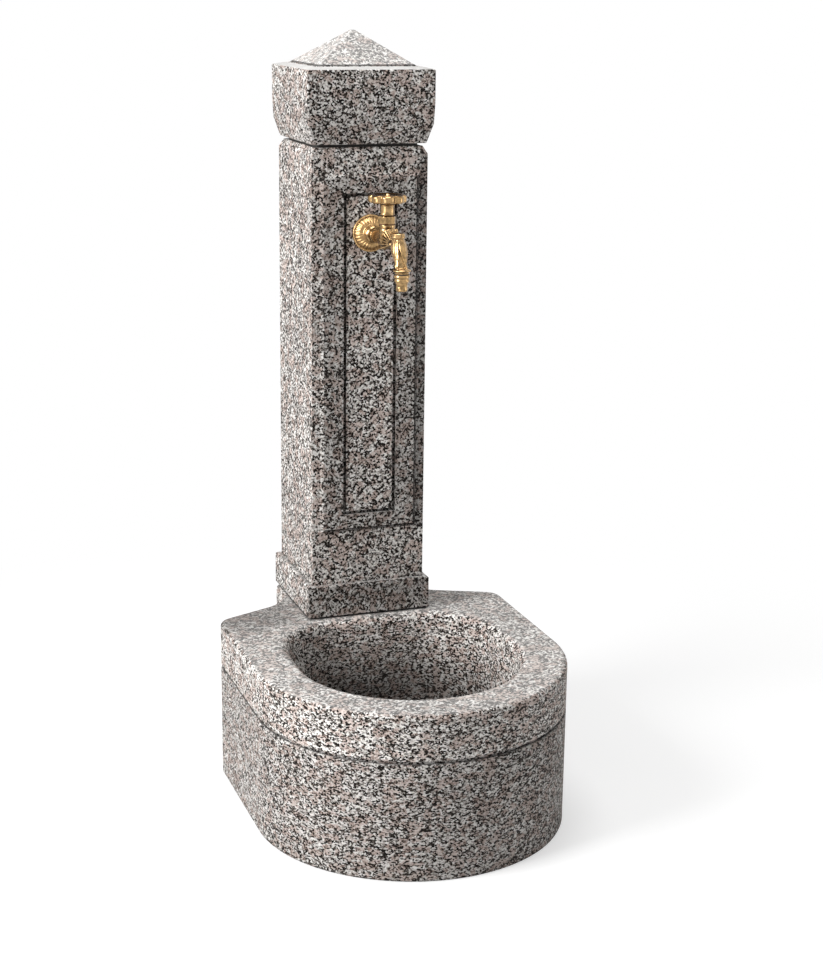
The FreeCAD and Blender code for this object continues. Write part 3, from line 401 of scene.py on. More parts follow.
def metal(name, color, roughness, grime=0.35, brushed=False, nook_tarnish_and_shade=0.0, dark_top_reflection=0.0):
    """Metal with a faintly uneven polish.

    grime darkens it in clouds, nook is how far patina and painted shade reach out of its corners,
    and dull is how far its upward faces are darkened, a painted dark reflection from above.
    """
    made = Finish(name, {"Metallic": 1.0})
    turned = made.vector("MULTIPLY", made.place, (1.0, 1.0, 14.0)) if brushed else made.place
    cloud = made.noise(160.0, 3.0)["Fac"]
    fine = made.noise(2600.0, 2.0, turned)["Fac"]
    dark = tuple(c * (1 - grime) for c in color)
    skin = made.mix(cloud.between(0.35, 0.6), dark, tuple(color))
    # Patina and painted shade in the corners
    if nook_tarnish_and_shade:
        tarnish_and_shade = (1 - made.openness(nook_tarnish_and_shade, 8).between(0.3, 0.95)) * 0.95
        skin = made.mix(tarnish_and_shade, skin, tuple(c * c * 0.4 for c in color))
    # Painted dark reflection on the upward faces
    if dark_top_reflection:
        top_reflection_mask = made.axes(made.facing)["Z"].between(0.5, 0.9) * dark_top_reflection
        skin = made.mix(top_reflection_mask, skin, tuple(c * c * 0.5 for c in color))
    made.set("Base Color", skin)
    made.set("Roughness", (cloud - 0.5) * -0.12 + (fine - 0.5) * 0.1 + roughness)
    made.bump(fine * 0.4 + cloud * 0.6, 0.00006 if brushed else 0.00004, 0.5)
    return made.material


def soft_seal(name, color, roughness):
    made = Finish(name, {"Specular IOR Level": 0.3})
    fine = made.noise(1500.0, 3.0)["Fac"]
    made.set("Base Color", made.mix(fine, tuple(c * 0.75 for c in color), tuple(color)))
    made.set("Roughness", fine * 0.2 + roughness)
    made.bump(fine, 0.00008)
    return made.material


finishes = {}


def make_finishes(scene):
    """All materials, by the record's slot or by the piece's own name."""
    stone = scene.fountain_stone
    grain = stone.grain
    finishes["column"] = granite("column_granite", stone, grain, 1.0, 0.82, 0.3, column_shade)
    finishes["cap"] = granite("cap_granite", stone, grain, 1.1, 0.82, 0.92, cap_shade)
    finishes["basin"] = granite("basin_granite", stone, grain * 1.12, 1.5, 0.86, 0.3, basin_shade)
    finishes["mortar"] = mortar("bed_mortar")
    brass = scene.fountain_brass
    polished, rough = tuple(brass.polished), brass.roughness
    bright = tuple(c * 1.2 for c in polished)
    finishes["polished_brass"] = metal("polished_brass", polished, rough, 0.45, nook_tarnish_and_shade=0.004)
    finishes["rosette"] = metal("rosette_brass", bright, rough + 0.13, 0.3, nook_tarnish_and_shade=0.003)
    finishes["handwheel"] = metal("handwheel_brass", polished, 0.12, nook_tarnish_and_shade=0.005, dark_top_reflection=0.85)
    finishes["turned_brass"] = metal("turned_brass", polished, 0.3, 0.3, brushed=True)
    finishes["plumbing_brass"] = metal("plumbing_brass", tuple(brass.plumbing), 0.38, 0.45)
    finishes["copper"] = metal("copper_pipe", (0.70, 0.32, 0.20), 0.34, 0.5)
    steel = (0.62, 0.62, 0.61)
    finishes["stainless_steel"] = metal("stainless_steel", steel, 0.3, 0.25, brushed=True)
    finishes["rubber"] = soft_seal("black_rubber", (0.03, 0.03, 0.03), 0.6)
    finishes["fibre"] = soft_seal("seal_fibre", (0.15, 0.07, 0.04), 0.7)


# Shapes

def turns(count):
    """Angles that share out a whole turn."""
    return [2 * math.pi * i / count for i in range(count)]


def spoke(radius, angle, y, z):
    """Point at an angle and a distance from the upright line through y."""
    return Vector((radius * math.cos(angle), y + radius * math.sin(angle), z))


def soften(points, radius, steps=3):
    """The open line through (radius, height) points with its inner corners rounded."""
    line = [points[0]]
    for back, corner, ahead in zip(points, points[1:], points[2:]):
        a, b, c = Vector(back), Vector(corner), Vector(ahead)
        cut = min(radius, (a - b).length * 0.45, (c - b).length * 0.45)
        start = b + (a - b).normalized() * cut
        end = b + (c - b).normalized() * cut
        for i in range(steps + 1):
            t = i / steps
            line.append(tuple(start * (1 - t) ** 2 + b * 2 * t * (1 - t) + end * t * t))
    return line + [points[-1]]


def loft(rings, closed_ends=True):
    """Points and faces of a skin through rings with equal numbers of points."""
    points = [p for ring in rings for p in ring]
    count = len(rings[0])
    last = (len(rings) - 1) * count
    faces = []
    for a in range(0, last, count):
        for i in range(count):
            j = (i + 1) % count
            faces.append((a + i, a + j, a + count + j, a + count + i))
    if closed_ends:
        faces.append(tuple(range(count))[::-1])
        faces.append(tuple(range(last, last + count)))
    return points, faces


def lathe(profile, shape=None, steps=96, hollow=False):
    """Turned body: profile is (radius, height) in millimetres, and shape may change a radius.

    A hollow one has a closed profile, which stays clear of the axis.
    """
    rings = []
    for radius, height in profile:
        ring = []
        for angle in turns(steps):
            r = shape(angle, radius) if shape else radius
            ring.append(spoke(r, angle, 0.0, height) * MM)
        rings.append(ring)
    return loft(rings + rings[:1], False) if hollow else loft(rings)


def moved(part, matrix):
    points, faces = part
    return [matrix @ p for p in points], faces


def at(x, y, z, turn=None):
    """Matrix that turns a part and puts it at a place given in metres."""
    return Matrix.Translation((x, y, z)) @ (turn or Matrix.Identity(4))


def along(start, end):
    """Matrix that takes the Z axis to the line from start to end."""
    return Matrix.Translation(start) @ (end - start).to_track_quat("Z", "Y").to_matrix().to_4x4()


def capsule(start, end, radius0, radius1, steps=16):
    """Rounded, tapered bar between two points in metres, radii in millimetres."""
    length = (end - start).length / MM
    bends = [math.pi / 2 * i / 4 for i in range(5)]
    profile = [(max(radius0 * math.sin(a), POLE), -radius0 * math.cos(a)) for a in bends]
    profile += [(max(radius1 * math.cos(a), POLE), length + radius1 * math.sin(a)) for a in bends]
    return moved(lathe(profile, steps=steps), along(start, end))


def mesh_of(name, parts):
    """One mesh of all parts, with doubled points joined and all faces outwards."""
    points, faces = [], []
    for part_points, part_faces in parts:
        base = len(points)
        points += part_points
        faces += [tuple(base + i for i in face) for face in part_faces]
    mesh = bpy.data.meshes.new(name)
    mesh.from_pydata(points, [], faces)
    bm = bmesh.new()
    bm.from_mesh(mesh)
    bmesh.ops.remove_doubles(bm, verts=bm.verts, dist=MERGE)
    bmesh.ops.recalc_face_normals(bm, faces=bm.faces)
    bm.to_mesh(mesh)
    bm.free()
    return mesh


def smooth(mesh, angle):
    """Shade a mesh smooth, with edges over the angle in degrees kept sharp."""
    mesh.shade_smooth()
    mesh.set_sharp_from_angle(angle=math.radians(angle))


def add_object(name, mesh):
    piece = bpy.data.objects.new(name, mesh)
    bpy.context.scene.collection.objects.link(piece)
    return piece


def add_piece(name, parts, sharp):
    """A smooth piece of its own from parts, with edges over the angle kept sharp."""
    mesh = mesh_of(name, parts)
    smooth(mesh, sharp)
    return add_object(name, mesh)


def bake(piece):
    """Turn a piece with modifiers into a plain mesh."""
    graph = bpy.context.evaluated_depsgraph_get()
    graph.update()
    mesh = bpy.data.meshes.new_from_object(piece.evaluated_get(graph))
    piece.modifiers.clear()
    piece.data = mesh
    return mesh


def settle(piece, finish, body, node):
    """Give a finished piece its material and the body it rides on, and hide the node it stands
    for.
    """
    piece.data.materials.clear()
    piece.data.materials.append(finish)
    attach(piece, body)
    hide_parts(node)


def copy_of(node, name):
    """A piece with a merged copy of one node's mesh, its flat faces whole."""
    mesh = frame["nodes"][node].data.copy()
    mesh.name = name
    bm = bmesh.new()
    bm.from_mesh(mesh)
    bmesh.ops.remove_doubles(bm, verts=bm.verts, dist=MERGE)
    bmesh.ops.dissolve_limit(bm, angle_limit=math.radians(0.5), verts=bm.verts, edges=bm.edges)
    bm.to_mesh(mesh)
    bm.free()
    return add_object(name, mesh)


def flat_faces(piece):
    """Weighted normals, so that flat faces look flat up to their rounded edges."""
    flat = piece.modifiers.new("flat_faces", "WEIGHTED_NORMAL")
    flat.keep_sharp = True


def rounded_edges(piece, width, steps=2):
    """Round a piece's edges, and join the points that meet in the process."""
    bevel = piece.modifiers.new("rounding", "BEVEL")
    bevel.width = width
    bevel.segments = steps
    bevel.limit_method = "ANGLE"
    bevel.angle_limit = math.radians(25)
    bevel.use_clamp_overlap = True
    weld = piece.modifiers.new("weld", "WELD")
    weld.merge_threshold = MERGE
    smooth(piece.data, 40)
    flat_faces(piece)
    return piece


def ring_tree(name):
    """Geometry nodes: copies of a shape on a ring, each turned to its own radius."""
    group = bpy.data.node_groups.new(name, "GeometryNodeTree")
    inputs = {"Geometry": "Geometry", "Shape": "Object", "Count": "Int", "Radius": "Float",
              "Material": "Material"}
    for title, kind in inputs.items():
        group.interface.new_socket(title, in_out="INPUT", socket_type="NodeSocket" + kind)
    group.interface.new_socket("Geometry", in_out="OUTPUT", socket_type="NodeSocketGeometry")
    tree = Tree(group)
    given = tree.node("NodeGroupInput")
    ring = tree.node("GeometryNodeMeshCircle", {"fill_type": "NONE"},
                     {"Vertices": given["Count"], "Radius": given["Radius"]})
    index = tree.node("GeometryNodeInputIndex")["Index"]
    turn = tree.math_of("DIVIDE", index, given["Count"]) * (2 * math.pi)
    euler = tree.node("ShaderNodeCombineXYZ", {}, {"Z": turn})["Vector"]
    rotation = tree.node("FunctionNodeEulerToRotation", {}, {"Euler": euler})["Rotation"]
    shape = tree.node("GeometryNodeObjectInfo", {"transform_space": "ORIGINAL"},
                      {"Object": given["Shape"]})["Geometry"]
    copies = tree.node("GeometryNodeInstanceOnPoints", {},
                       {"Points": ring["Mesh"], "Instance": shape, "Rotation": rotation})
    real = tree.node("GeometryNodeRealizeInstances", {}, {"Geometry": copies["Instances"]})
    joined = tree.node("GeometryNodeJoinGeometry")
    for part in (real["Geometry"], given["Geometry"]):
        group.links.new(part.socket, joined.node.inputs[0])
    painted = tree.node("GeometryNodeSetMaterial", {},
                        {"Geometry": joined["Geometry"], "Material": given["Material"]})
    tree.node("NodeGroupOutput", {}, {0: painted["Geometry"]})
    return group


def add_ring(piece, group, shape, count, radius, finish):
    """Run the ring tree on a piece, and keep the result as its mesh."""
    helper = add_object(piece.name + "_shape", shape)
    modifier = piece.modifiers.new("ring", "NODES")
    modifier.node_group = group
    values = {"Shape": helper, "Count": count, "Radius": radius, "Material": finish}
    for item in group.interface.items_tree:
        if item.in_out == "INPUT" and item.name in values:
            modifier[item.identifier] = values[item.name]
    bake(piece)
    bpy.data.objects.remove(helper)


# The stones

def outline(corners, spacing=0.004):
    """Points and outward normals round (x, y, radius) corners, anticlockwise, in metres."""
    count = len(corners)
    spots = [Vector(corner[:2]) for corner in corners]
    arcs = []
    for i, corner in enumerate(spots):
        back = (spots[i - 1] - corner).normalized()
        ahead = (spots[(i + 1) % count] - corner).normalized()
        half = back.angle(ahead) / 2
        radius = corners[i][2]
        centre = corner + (back + ahead).normalized() * (radius / math.sin(half))
        start = corner + back * (radius / math.tan(half)) - centre
        turn = math.pi - 2 * half
        side = 1 if back.x * ahead.y - back.y * ahead.x < 0 else -1
        steps = max(4, math.ceil(radius * turn / spacing))
        arc = []
        for k in range(steps + 1):
            arm = Matrix.Rotation(side * turn * k / steps, 2) @ start
            arc.append((centre + arm, arm.normalized() * side))
        arcs.append(arc)
    line = []
    for i, arc in enumerate(arcs):
        line += arc
        end, normal = arc[-1]
        start = arcs[(i + 1) % count][0][0]
        steps = math.ceil((start - end).length / spacing)
        line += [(end.lerp(start, k / steps), normal) for k in range(1, steps)]
    # Points that fall together between two arcs are left out
    near = spacing * 0.1
    clean = [line[0]]
    for spot, normal in line[1:]:
        if (spot - clean[-1][0]).length > near:
            clean.append((spot, normal))
    if (clean[0][0] - clean[-1][0]).length < near:
        clean.pop()
    return clean


def level_ring(line, inset, z, wave):
    """The outline drawn in by inset at height z, with hand-worked waves of some 70 mm."""
    ring = []
    for spot, normal in line:
        place = spot - normal * inset
        swing = noise.noise(Vector((place.x, place.y, z)) * 14.0) * 0.5 - 0.5
        place = place + normal * swing * wave
        ring.append(Vector((place.x, place.y, z)))
    return ring


def mirrored(corners):
    return corners + [(-x, y, radius) for x, y, radius in reversed(corners)]


def quarter(radius, steps):
    """(across, up) along a quarter circle, from (radius, 0) to (0, radius)."""
    bends = [math.pi / 2 * i / steps for i in range(steps + 1)]
    return [(radius * (1 - math.sin(a)), radius * (1 - math.cos(a))) for a in bends]


def circle(y, z, radius, count=64):
    return [spoke(radius, a, y, z) for a in turns(count)]


def fill_between(*loops):
    """Flat part between an outer loop and the loops of its holes."""
    bm = bmesh.new()
    edges = []
    for loop in loops:
        verts = [bm.verts.new(p) for p in loop]
        for i, vert in enumerate(verts):
            edges.append(bm.edges.new((vert, verts[(i + 1) % len(verts)])))
    bmesh.ops.triangle_fill(bm, use_beauty=True, edges=edges)
    bm.verts.index_update()
    points = [v.co.copy() for v in bm.verts]
    faces = [tuple(v.index for v in face.verts) for face in bm.faces]
    bm.free()
    return points, faces


def basin_wall(top):
    """(inset, height) up the outside of the basin: worn foot, groove and rounded rim."""
    groove = top - GROOVE_FOOT
    ledge = groove + 0.004
    rim = 0.006
    worn = [(0.0, 0.0016), (0.0007, 0.0005), (0.002, 0.0), (0.004, 0.0)]
    wall = [(0.002, 0.0), (0.0006, 0.0006), (0.0, 0.002)]
    wall += [(0.0, groove * k / 12) for k in range(1, 12)]
    wall += [(inset, groove - away) for inset, away in worn]
    wall += [(inset, ledge + away) for inset, away in reversed(worn)]
    wall += [(0.0, ledge + (top - rim - ledge) * k / 4) for k in range(1, 4)]
    return wall + [(up, top - across) for across, up in quarter(rim, 8)]


def bowl_wall(top, floor):
    """(inset, height) down the bowl: rounded lip, drawn-in side and the bend to the floor."""
    lip, bend, draft = 0.012, 0.032, 0.024
    wall = [(-up, top - across) for across, up in reversed(quarter(lip, 8))]
    wall += [(0.0, top - lip - (top - lip - floor - bend) * k / 16) for k in range(1, 17)]
    wall += [(across, floor + up) for across, up in reversed(quarter(bend, 10)[:-1])]
    return [(inset + draft * (top - z) / BOWL_DEPTH, z) for inset, z in wall]


def make_basin(scene):
    """Basin with rounded rim, groove, bowl, drain seat and the bore of the supply line."""
    wave = scene.fountain_stone.unevenness
    low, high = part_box("basin")
    half, back, top = high
    floor = top - BOWL_DEPTH
    # Plan of the block, right side: round front, shoulder, neck and rear corner
    neck = 0.099
    plan = [(half, low.y, half), (half, back - 0.147, 0.028), (neck, back - 0.091, 0.070),
            (neck, back, 0.020)]
    block = outline(mirrored(plan))
    rings = [level_ring(block, inset, z, wave) for inset, z in basin_wall(top)]
    bowl_half, bowl_front = half - BOWL_RIM, low.y + BOWL_RIM
    plan = [(bowl_half, bowl_front, bowl_half), (bowl_half, BOWL_BACK, 0.105)]
    hollow = outline(mirrored(plan))
    bowl = [level_ring(hollow, inset, z, wave if z < top else 0.0)
            for inset, z in bowl_wall(top, floor)]
    # Seat of the drain's flange, its hole, and the pocket below for the nut
    drain_y = (bowl_front + BOWL_BACK) / 2
    flange, seat, hole, pocket, pocket_top = 0.0335, floor - 0.007, 0.023, 0.050, 0.040
    drain = [circle(drain_y, z, radius) for radius, z in (
        (flange, floor), (flange, seat), (hole, seat), (hole, pocket_top), (pocket, pocket_top),
        (pocket, 0.0))]
    riser = [circle(0.205, z, 0.030) for z in (top, 0.0)]
    parts = [loft(rings, False), loft(bowl, False), loft(drain, False), loft(riser, False),
             fill_between(rings[-1], bowl[0], riser[0]), fill_between(bowl[-1], drain[0]),
             fill_between(rings[0], drain[-1], riser[1])]
    piece = add_piece("granite_basin", parts, 40)
    flat_faces(piece)
    settle(piece, finishes["basin"], "fountain", "basin")


def make_column(scene):
    """Column and cap with softened edges."""
    edge = scene.fountain_stone.edge
    for node in ("column", "cap"):
        piece = rounded_edges(copy_of(node, "granite_" + node), edge, 3)
        settle(piece, finishes[node], "fountain", node)


# The tap

def centre_of(node):
    low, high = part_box(node)
    return (low + high) / 2


def size_of(node):
    """Radius and height of an upright node, in millimetres."""
    low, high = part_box(node)
    return (high.x - low.x) / 2 / MM, (high.z - low.z) / MM


def add_turned(name, node, profile, sharp, **how):
    """A hollow turned piece that stands where a node stands."""
    centre = centre_of(node)
    part = moved(lathe(profile, hollow=True, **how), at(centre.x, centre.y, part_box(node)[0].z))
    return add_piece(name, [part], sharp)


def make_rosette(scene):
    """Rosette: beaded rim, radial ribs, a ring and a smooth dome round the neck."""
    tap = scene.fountain_tap
    centre = centre_of("rosette")
    finish = finishes["rosette"]
    radius = size_of("rosette")[0]
    dish = soften([(radius - 4, 0.0), (radius, 0.0), (radius, 2.4), (radius - 1.8, 3.4),
                   (radius - 3.4, 3.0), (radius - 8, 8.6), (14.6, 10.4), (14.0, 11.6),
                   (12.8, 11.4), (12.5, 13.8), (10.8, 14.0), (10.8, 0.0)], 0.7)
    piece = add_piece("brass_rosette", [lathe(dish, steps=144, hollow=True)], 40)
    group = ring_tree("ring_of_copies")
    foot, middle, crest = [Vector((x, 0, z)) * MM for x, z in (
        (radius - 4.2, 3.0), (radius - 8.4, 7.9), (15.2, 9.7))]
    rib = mesh_of("rib", [capsule(foot, middle, 1.9, 1.75), capsule(middle, crest, 1.75, 1.0)])
    add_ring(piece, group, rib, tap.rosette_ribs, 0.0, finish)
    ends = [Vector((0, 0, z)) for z in (0.0029, 0.0031)]
    bead = mesh_of("bead", [capsule(*ends, 1.25, 1.25, 12)])
    add_ring(piece, group, bead, tap.rosette_beads, (radius - 1.5) * MM, finish)
    piece.data.transform(at(centre.x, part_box("rosette")[1].y, centre.z, FRONT))
    smooth(piece.data, 40)
    settle(piece, finish, "fountain", "rosette")


def spout_at(stations, z):
    """Centre and radius of the spout at height z, between its stations."""
    for (y0, z0, r0), (y1, z1, r1) in zip(stations, stations[1:]):
        if z1 <= z <= z0:
            t = (z0 - z) / (z0 - z1)
            return y0 + (y1 - y0) * t, r0 + (r1 - r0) * t
    return stations[-1][0], stations[-1][2]


def leaf(stations, top, bottom, angle, spread, rise, curl, sweep=0.0):
    """Pointed leaf laid round the spout, with a ridge, raised edges and a tip that curls out.

    spread is its half width and sweep its bend in degrees; rise and curl are millimetres.
    """
    rings = []
    for share, width, thick in LEAF_SHAPE:
        z = top + (bottom - top) * share
        y, radius = spout_at(stations, z)
        middle = angle + sweep * math.sin(math.pi * share)
        lift = rise * thick + curl * max(0.0, share - 0.8) / 0.2
        outer, inner = [], []
        for i in range(15):
            t = i / 7 - 1
            a = math.radians(middle + spread * width * t)
            ridge = 0.9 * max(0.0, 1 - abs(t) * 3.5) + 0.6 * max(0.0, abs(t) - 0.72) / 0.28
            out = radius + lift + ridge * min(1.0, width * 1.4)
            outer.append(spoke(out, a, y, z) * MM)
            inner.append(spoke(radius - LEAF_ROOT, a, y, z) * MM)
        rings.append(outer + inner[::-1])
    return loft(rings)


def make_tap_body(scene):
    """Cast body: neck, valve tower, arm, shell and spout with leaves, melted into one skin."""
    tap = scene.fountain_tap
    wall_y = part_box("rosette")[1].y / MM
    valve_y = centre_of("spindle").y / MM
    tap_z = centre_of("rosette").z / MM
    nozzle_y = centre_of("outlet_nozzle").y / MM
    spout_y = nozzle_y + 17.0
    spout_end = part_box("nozzle_washer")[1].z / MM
    reach = wall_y - valve_y
    neck = soften([(POLE, -18.0), (10.4, -18.0), (10.4, 14.0), (12.4, 14.0), (12.4, 16.6),
                   (11.2, 18.0), (9.5, 20.0), (9.5, 28.0), (10.6, 29.0), (10.6, 31.0),
                   (9.5, 32.0), (9.5, reach - 18), (11.2, reach - 12), (11.2, reach),
                   (POLE, reach)], 1.0)
    parts = [moved(lathe(neck), at(0, wall_y * MM, tap_z * MM, FRONT))]
    # Tower with a round bottom
    side = 11.5
    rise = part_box("bonnet_gasket")[0].z / MM - tap_z
    bends = [math.pi / 2 * k / 6 for k in range(6, 0, -1)]
    tower = [(max(side * math.cos(a), POLE), -side * math.sin(a)) for a in bends]
    tower += soften([(side, 0.0), (side, rise - 7.0), (11.1, rise - 6.2), (11.1, rise - 4.6),
                     (11.6, rise - 4.0), (11.6, rise), (POLE, rise)], 0.6)
    parts.append(moved(lathe(tower), at(0, valve_y * MM, tap_z * MM)))
    root, elbow = [Vector((0, y, tap_z)) * MM for y in (valve_y, spout_y)]
    parts.append(capsule(root, elbow, 9.8, 8.6, 48))
    parts += shell_parts(tap.shell_ribs, Vector((0, spout_y + 8.0, tap_z - 1.0)))
    parts += spout_parts(tap.spout_leaves, spout_y, nozzle_y, tap_z + 16.0, spout_end)
    piece = add_object("brass_tap_body", mesh_of("brass_tap_body", parts))
    melt = piece.modifiers.new("melt", "REMESH")
    melt.mode = "VOXEL"
    melt.voxel_size = scene.fountain_brass.detail * 1.0
    soft = piece.modifiers.new("cast_edges", "SMOOTH")
    soft.factor = 0.5
    soft.iterations = 2
    smooth(bake(piece), 60)
    settle(piece, finishes["polished_brass"], "fountain", "tap_body")


def shell_parts(ribs, hinge):
    """Scallop shell between spout and tower, flaring to its rim, with ribs on both faces."""
    first, last = math.radians(-34), math.radians(86)
    rim_y, rim_z = 31.0, 20.0

    def point(angle, share, half, side, sink=0.0):
        """Point on one face, at a share of the way from the hinge to the rim.

        half is half the shell's width there, which shrinks towards the top, behind the collar.
        """
        less = 0.3 if side < 0 else 0.85
        wide = half * (1 - less * max(0.0, math.sin(angle)) ** 3)
        reach = Vector((0, rim_y * share * math.cos(angle), rim_z * share * math.sin(angle)))
        return (hinge + reach + Vector((side * (wide - sink), 0, 0))) * MM

    spread = [first + (last - first) * k / 40 for k in range(41)]
    rings = []
    for half, share in ((6.8, 0.2), (8.4, 0.55), (10.9, 0.92)):
        left = [point(a, share, half, -1) for a in spread]
        right = [point(a, share, half, 1) for a in reversed(spread)]
        rings.append(left + right)
    parts = [loft(rings)]
    for k in range(ribs):
        a = first + (last - first) * (k + 0.5) / ribs
        for side, sink in ((-1, 0.0), (-1, 1.5), (1, 0.0), (1, 1.5)):
            start = point(a, 0.2, 7.8, side, sink)
            middle = point(a, 0.6, 10.4, side, sink)
            end = point(a, 0.97, 13.2, side, sink)
            parts.append(capsule(start, middle, 0.7, 1.3, 14))
            parts.append(capsule(middle, end, 1.3, 2.0, 14))
    for side in (-1, 1):
        knob = (hinge + Vector((side * 8.0, 0.5, 0.0))) * MM
        parts.append(capsule(knob, knob + Vector((0, 0, 0.0004)), 2.6, 2.6, 24))
    return parts


def spout_parts(leaves, spout_y, nozzle_y, top, spout_end):
    """Collar ring, swelling body, leaves and flared lip of the spout, from its top down."""
    collar = soften([(POLE, -9.0), (8.0, -9.0), (9.0, -7.4), (10.3, -6.4), (10.3, -4.4),
                     (9.0, -3.6), (9.6, -2.6), (9.6, -1.2), (7.5, 0.0), (POLE, 0.6)], 0.6)
    parts = [moved(lathe(collar), at(0, spout_y * MM, top * MM))]
    # How far the spout has come forward and down from its top, and its radius there
    bend = [(0.0, 7.0, 7.6), (0.6, 10.0, 8.2), (2.0, 15.0, 9.6), (3.8, 20.0, 10.5),
            (5.8, 25.0, 10.6), (8.2, 31.0, 9.5), (10.2, 36.0, 8.5), (12.2, 41.0, 8.0),
            (14.4, 46.0, 8.2)]
    stations = [(spout_y - ahead, top - down, radius) for ahead, down, radius in bend]
    stations += [(nozzle_y, spout_end + 6.0, 9.0), (nozzle_y, spout_end + 3.0, 10.2),
                 (nozzle_y, spout_end, 10.4)]
    rings = []
    for y, z, radius in stations:
        core = radius - (1.7 if 8.0 < top - z < 47.0 else 0.0)
        rings.append([p * MM for p in circle(y, z, core, 96)])
    parts.append(loft(rings))
    lip = soften([(POLE, 0.0), (10.4, 0.0), (10.4, 2.4), (12.7, 3.8), (13.0, 5.2), (11.4, 6.2),
                  (8.6, 7.4), (POLE, 7.4)], 0.6)
    parts.append(moved(lathe(lip), at(0, nozzle_y * MM, spout_end * MM)))
    angles = [360.0 * k / leaves for k in range(leaves)]
    parts += [leaf(stations, top - 8.0, spout_end + 5.5, a - 145.0, 38.0, 0.9, 1.4, -8.0)
              for a in angles]
    parts += [leaf(stations, top - 8.6, top - 24.0, a - 100.0, 14.0, 0.6, 0.3) for a in angles]
    return parts


def make_nozzle():
    """Mouth of the spout: band with a groove and a bead, and a plain tip."""
    tall = size_of("outlet_nozzle")[1]
    band = (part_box("nozzle_washer")[0].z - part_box("outlet_nozzle")[0].z) / MM
    outside = [(5.5, 0.0), (7.6, 0.0), (8.25, 0.8), (8.25, 5.0), (7.8, 6.4), (8.3, 9.6),
               (9.9, 12.6), (10.9, 14.4), (10.6, 16.4), (10.0, 17.4), (10.6, 18.4), (11.6, 19.4),
               (11.6, 20.6), (10.8, band), (7.5, band), (7.5, tall), (5.5, tall), (5.5, 0.0)]
    piece = add_turned("brass_nozzle", "outlet_nozzle", soften(outside, 0.5)[:-1], 50)
    settle(piece, finishes["polished_brass"], "fountain", "outlet_nozzle")


def make_headwork():
    """Hexagon with chamfered corners, and the round nut with its rim grooves."""
    low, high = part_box("bonnet")
    centre = centre_of("bonnet")
    flats = (high.y - low.y) / 2 / MM
    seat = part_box("bonnet_gasket")[1].z
    height = 11.0

    def hexagon(angle, radius):
        """The six flats cut everything but the round inner parts."""
        if radius < 10.0:
            return radius
        return min(radius, flats / math.cos((angle % (math.pi / 3)) - math.pi / 6))

    profile = [(8.7, -7.0), (8.7, 0.0), (12.1, 0.0), (13.8, 1.2), (13.8, height - 1.2),
               (12.1, height), (8.2, height), (8.0, height + 0.6), (8.0, height + 8.0),
               (6.2, height + 8.0), (6.2, height + 0.5), (4.05, height + 0.5), (4.05, -7.0)]
    bonnet = moved(lathe(profile, hexagon, 144, hollow=True), at(centre.x, centre.y, seat))
    piece = rounded_edges(add_piece("brass_bonnet", [bonnet], 40), 0.0003)
    settle(piece, finishes["polished_brass"], "fountain", "bonnet")
    radius, tall = size_of("gland_nut")
    skin = soften([(8.1, 0.0), (radius - 0.4, 0.0), (radius, 0.5), (radius, 2.0),
                   (radius - 0.4, 2.6), (radius - 0.4, tall - 2.4), (radius, tall - 1.8),
                   (radius, tall - 0.8), (radius - 1.0, tall), (4.3, tall), (4.3, 6.2),
                   (6.1, 6.2), (6.1, 7.4), (8.1, 7.4), (8.1, 0.0)], 0.3)
    piece = add_turned("brass_gland_nut", "gland_nut", skin[:-1], 40)
    settle(piece, finishes["polished_brass"], "fountain", "gland_nut")


def make_handwheel(scene):
    """Lobed wheel with rounded rims, a dish with a raised ring on top, and its screw."""
    lobes = scene.fountain_tap.wheel_lobes
    radius, tall = size_of("handwheel")
    turn = math.radians(16.0)
    hub, gap = 20.5, 5.0

    def lobed(angle, r):
        """Gaps between the lobes, deeper towards the rim."""
        if r < hub:
            return r
        swing = 1 - abs(math.cos(lobes * (angle + turn) / 2)) ** 0.5
        return r - gap * swing * (r - hub) / (radius - hub)

    profile = soften([(3.1, 0.0), (7.5, 0.0), (9.0, 3.0), (17.5, 3.2), (20.4, 0.4),
                      (radius - 2, 0.0), (radius, 2.0), (radius, tall - 2.4),
                      (radius - 2.4, tall), (21.0, tall), (18.4, tall - 1.6), (9.4, tall - 2.0),
                      (8.6, tall - 1.0), (7.0, tall - 1.0), (6.4, tall - 2.0), (3.1, tall - 2.0),
                      (3.1, 0.0)], 0.9, 4)
    piece = add_turned("brass_handwheel", "handwheel", profile[:-1], 50, shape=lobed, steps=192)
    settle(piece, finishes["handwheel"], "tap_handle", "handwheel")
    piece = rounded_edges(copy_of("handwheel_screw", "brass_wheel_screw"), 0.0002)
    settle(piece, finishes["polished_brass"], "tap_handle", "handwheel_screw")


def make_drain():
    """Strainer with rounded slots, its screw and the drain's flange."""
    edges = {"strainer_grate": 0.0005, "strainer_screw": 0.0003, "waste_body": 0.0006}
    for node, edge in edges.items():
        piece = rounded_edges(copy_of(node, "steel_" + node), edge)
        settle(piece, finishes["stainless_steel"], "fountain", node)


def dress_nodes():
    """Give each node that stays visible the finish of its slot."""
    slots = {p["node"]: p["material_slot"] for p in frame["record"]["subparts"]}
    for name, node in frame["nodes"].items():
        if node.hide_render:
            continue
        node.data.materials.clear()
        node.data.materials.append(finishes[slots[name]])


# The stage

def camera_matrix(stage):
    """Place and turn of the camera from its yaw, pitch and roll."""
    yaw, pitch, roll = stage.yaw, stage.pitch, stage.roll
    forward = Vector((math.sin(yaw) * math.cos(pitch), math.cos(yaw) * math.cos(pitch),
                      -math.sin(pitch)))
    right = Vector((math.cos(yaw), -math.sin(yaw), 0))
    up = right.cross(forward)
    across = right * math.cos(roll) + up * math.sin(roll)
    rise = up * math.cos(roll) - right * math.sin(roll)
    turn = Matrix((across, rise, -forward)).transposed()
    return Matrix.Translation(stage.eye) @ turn.to_4x4()


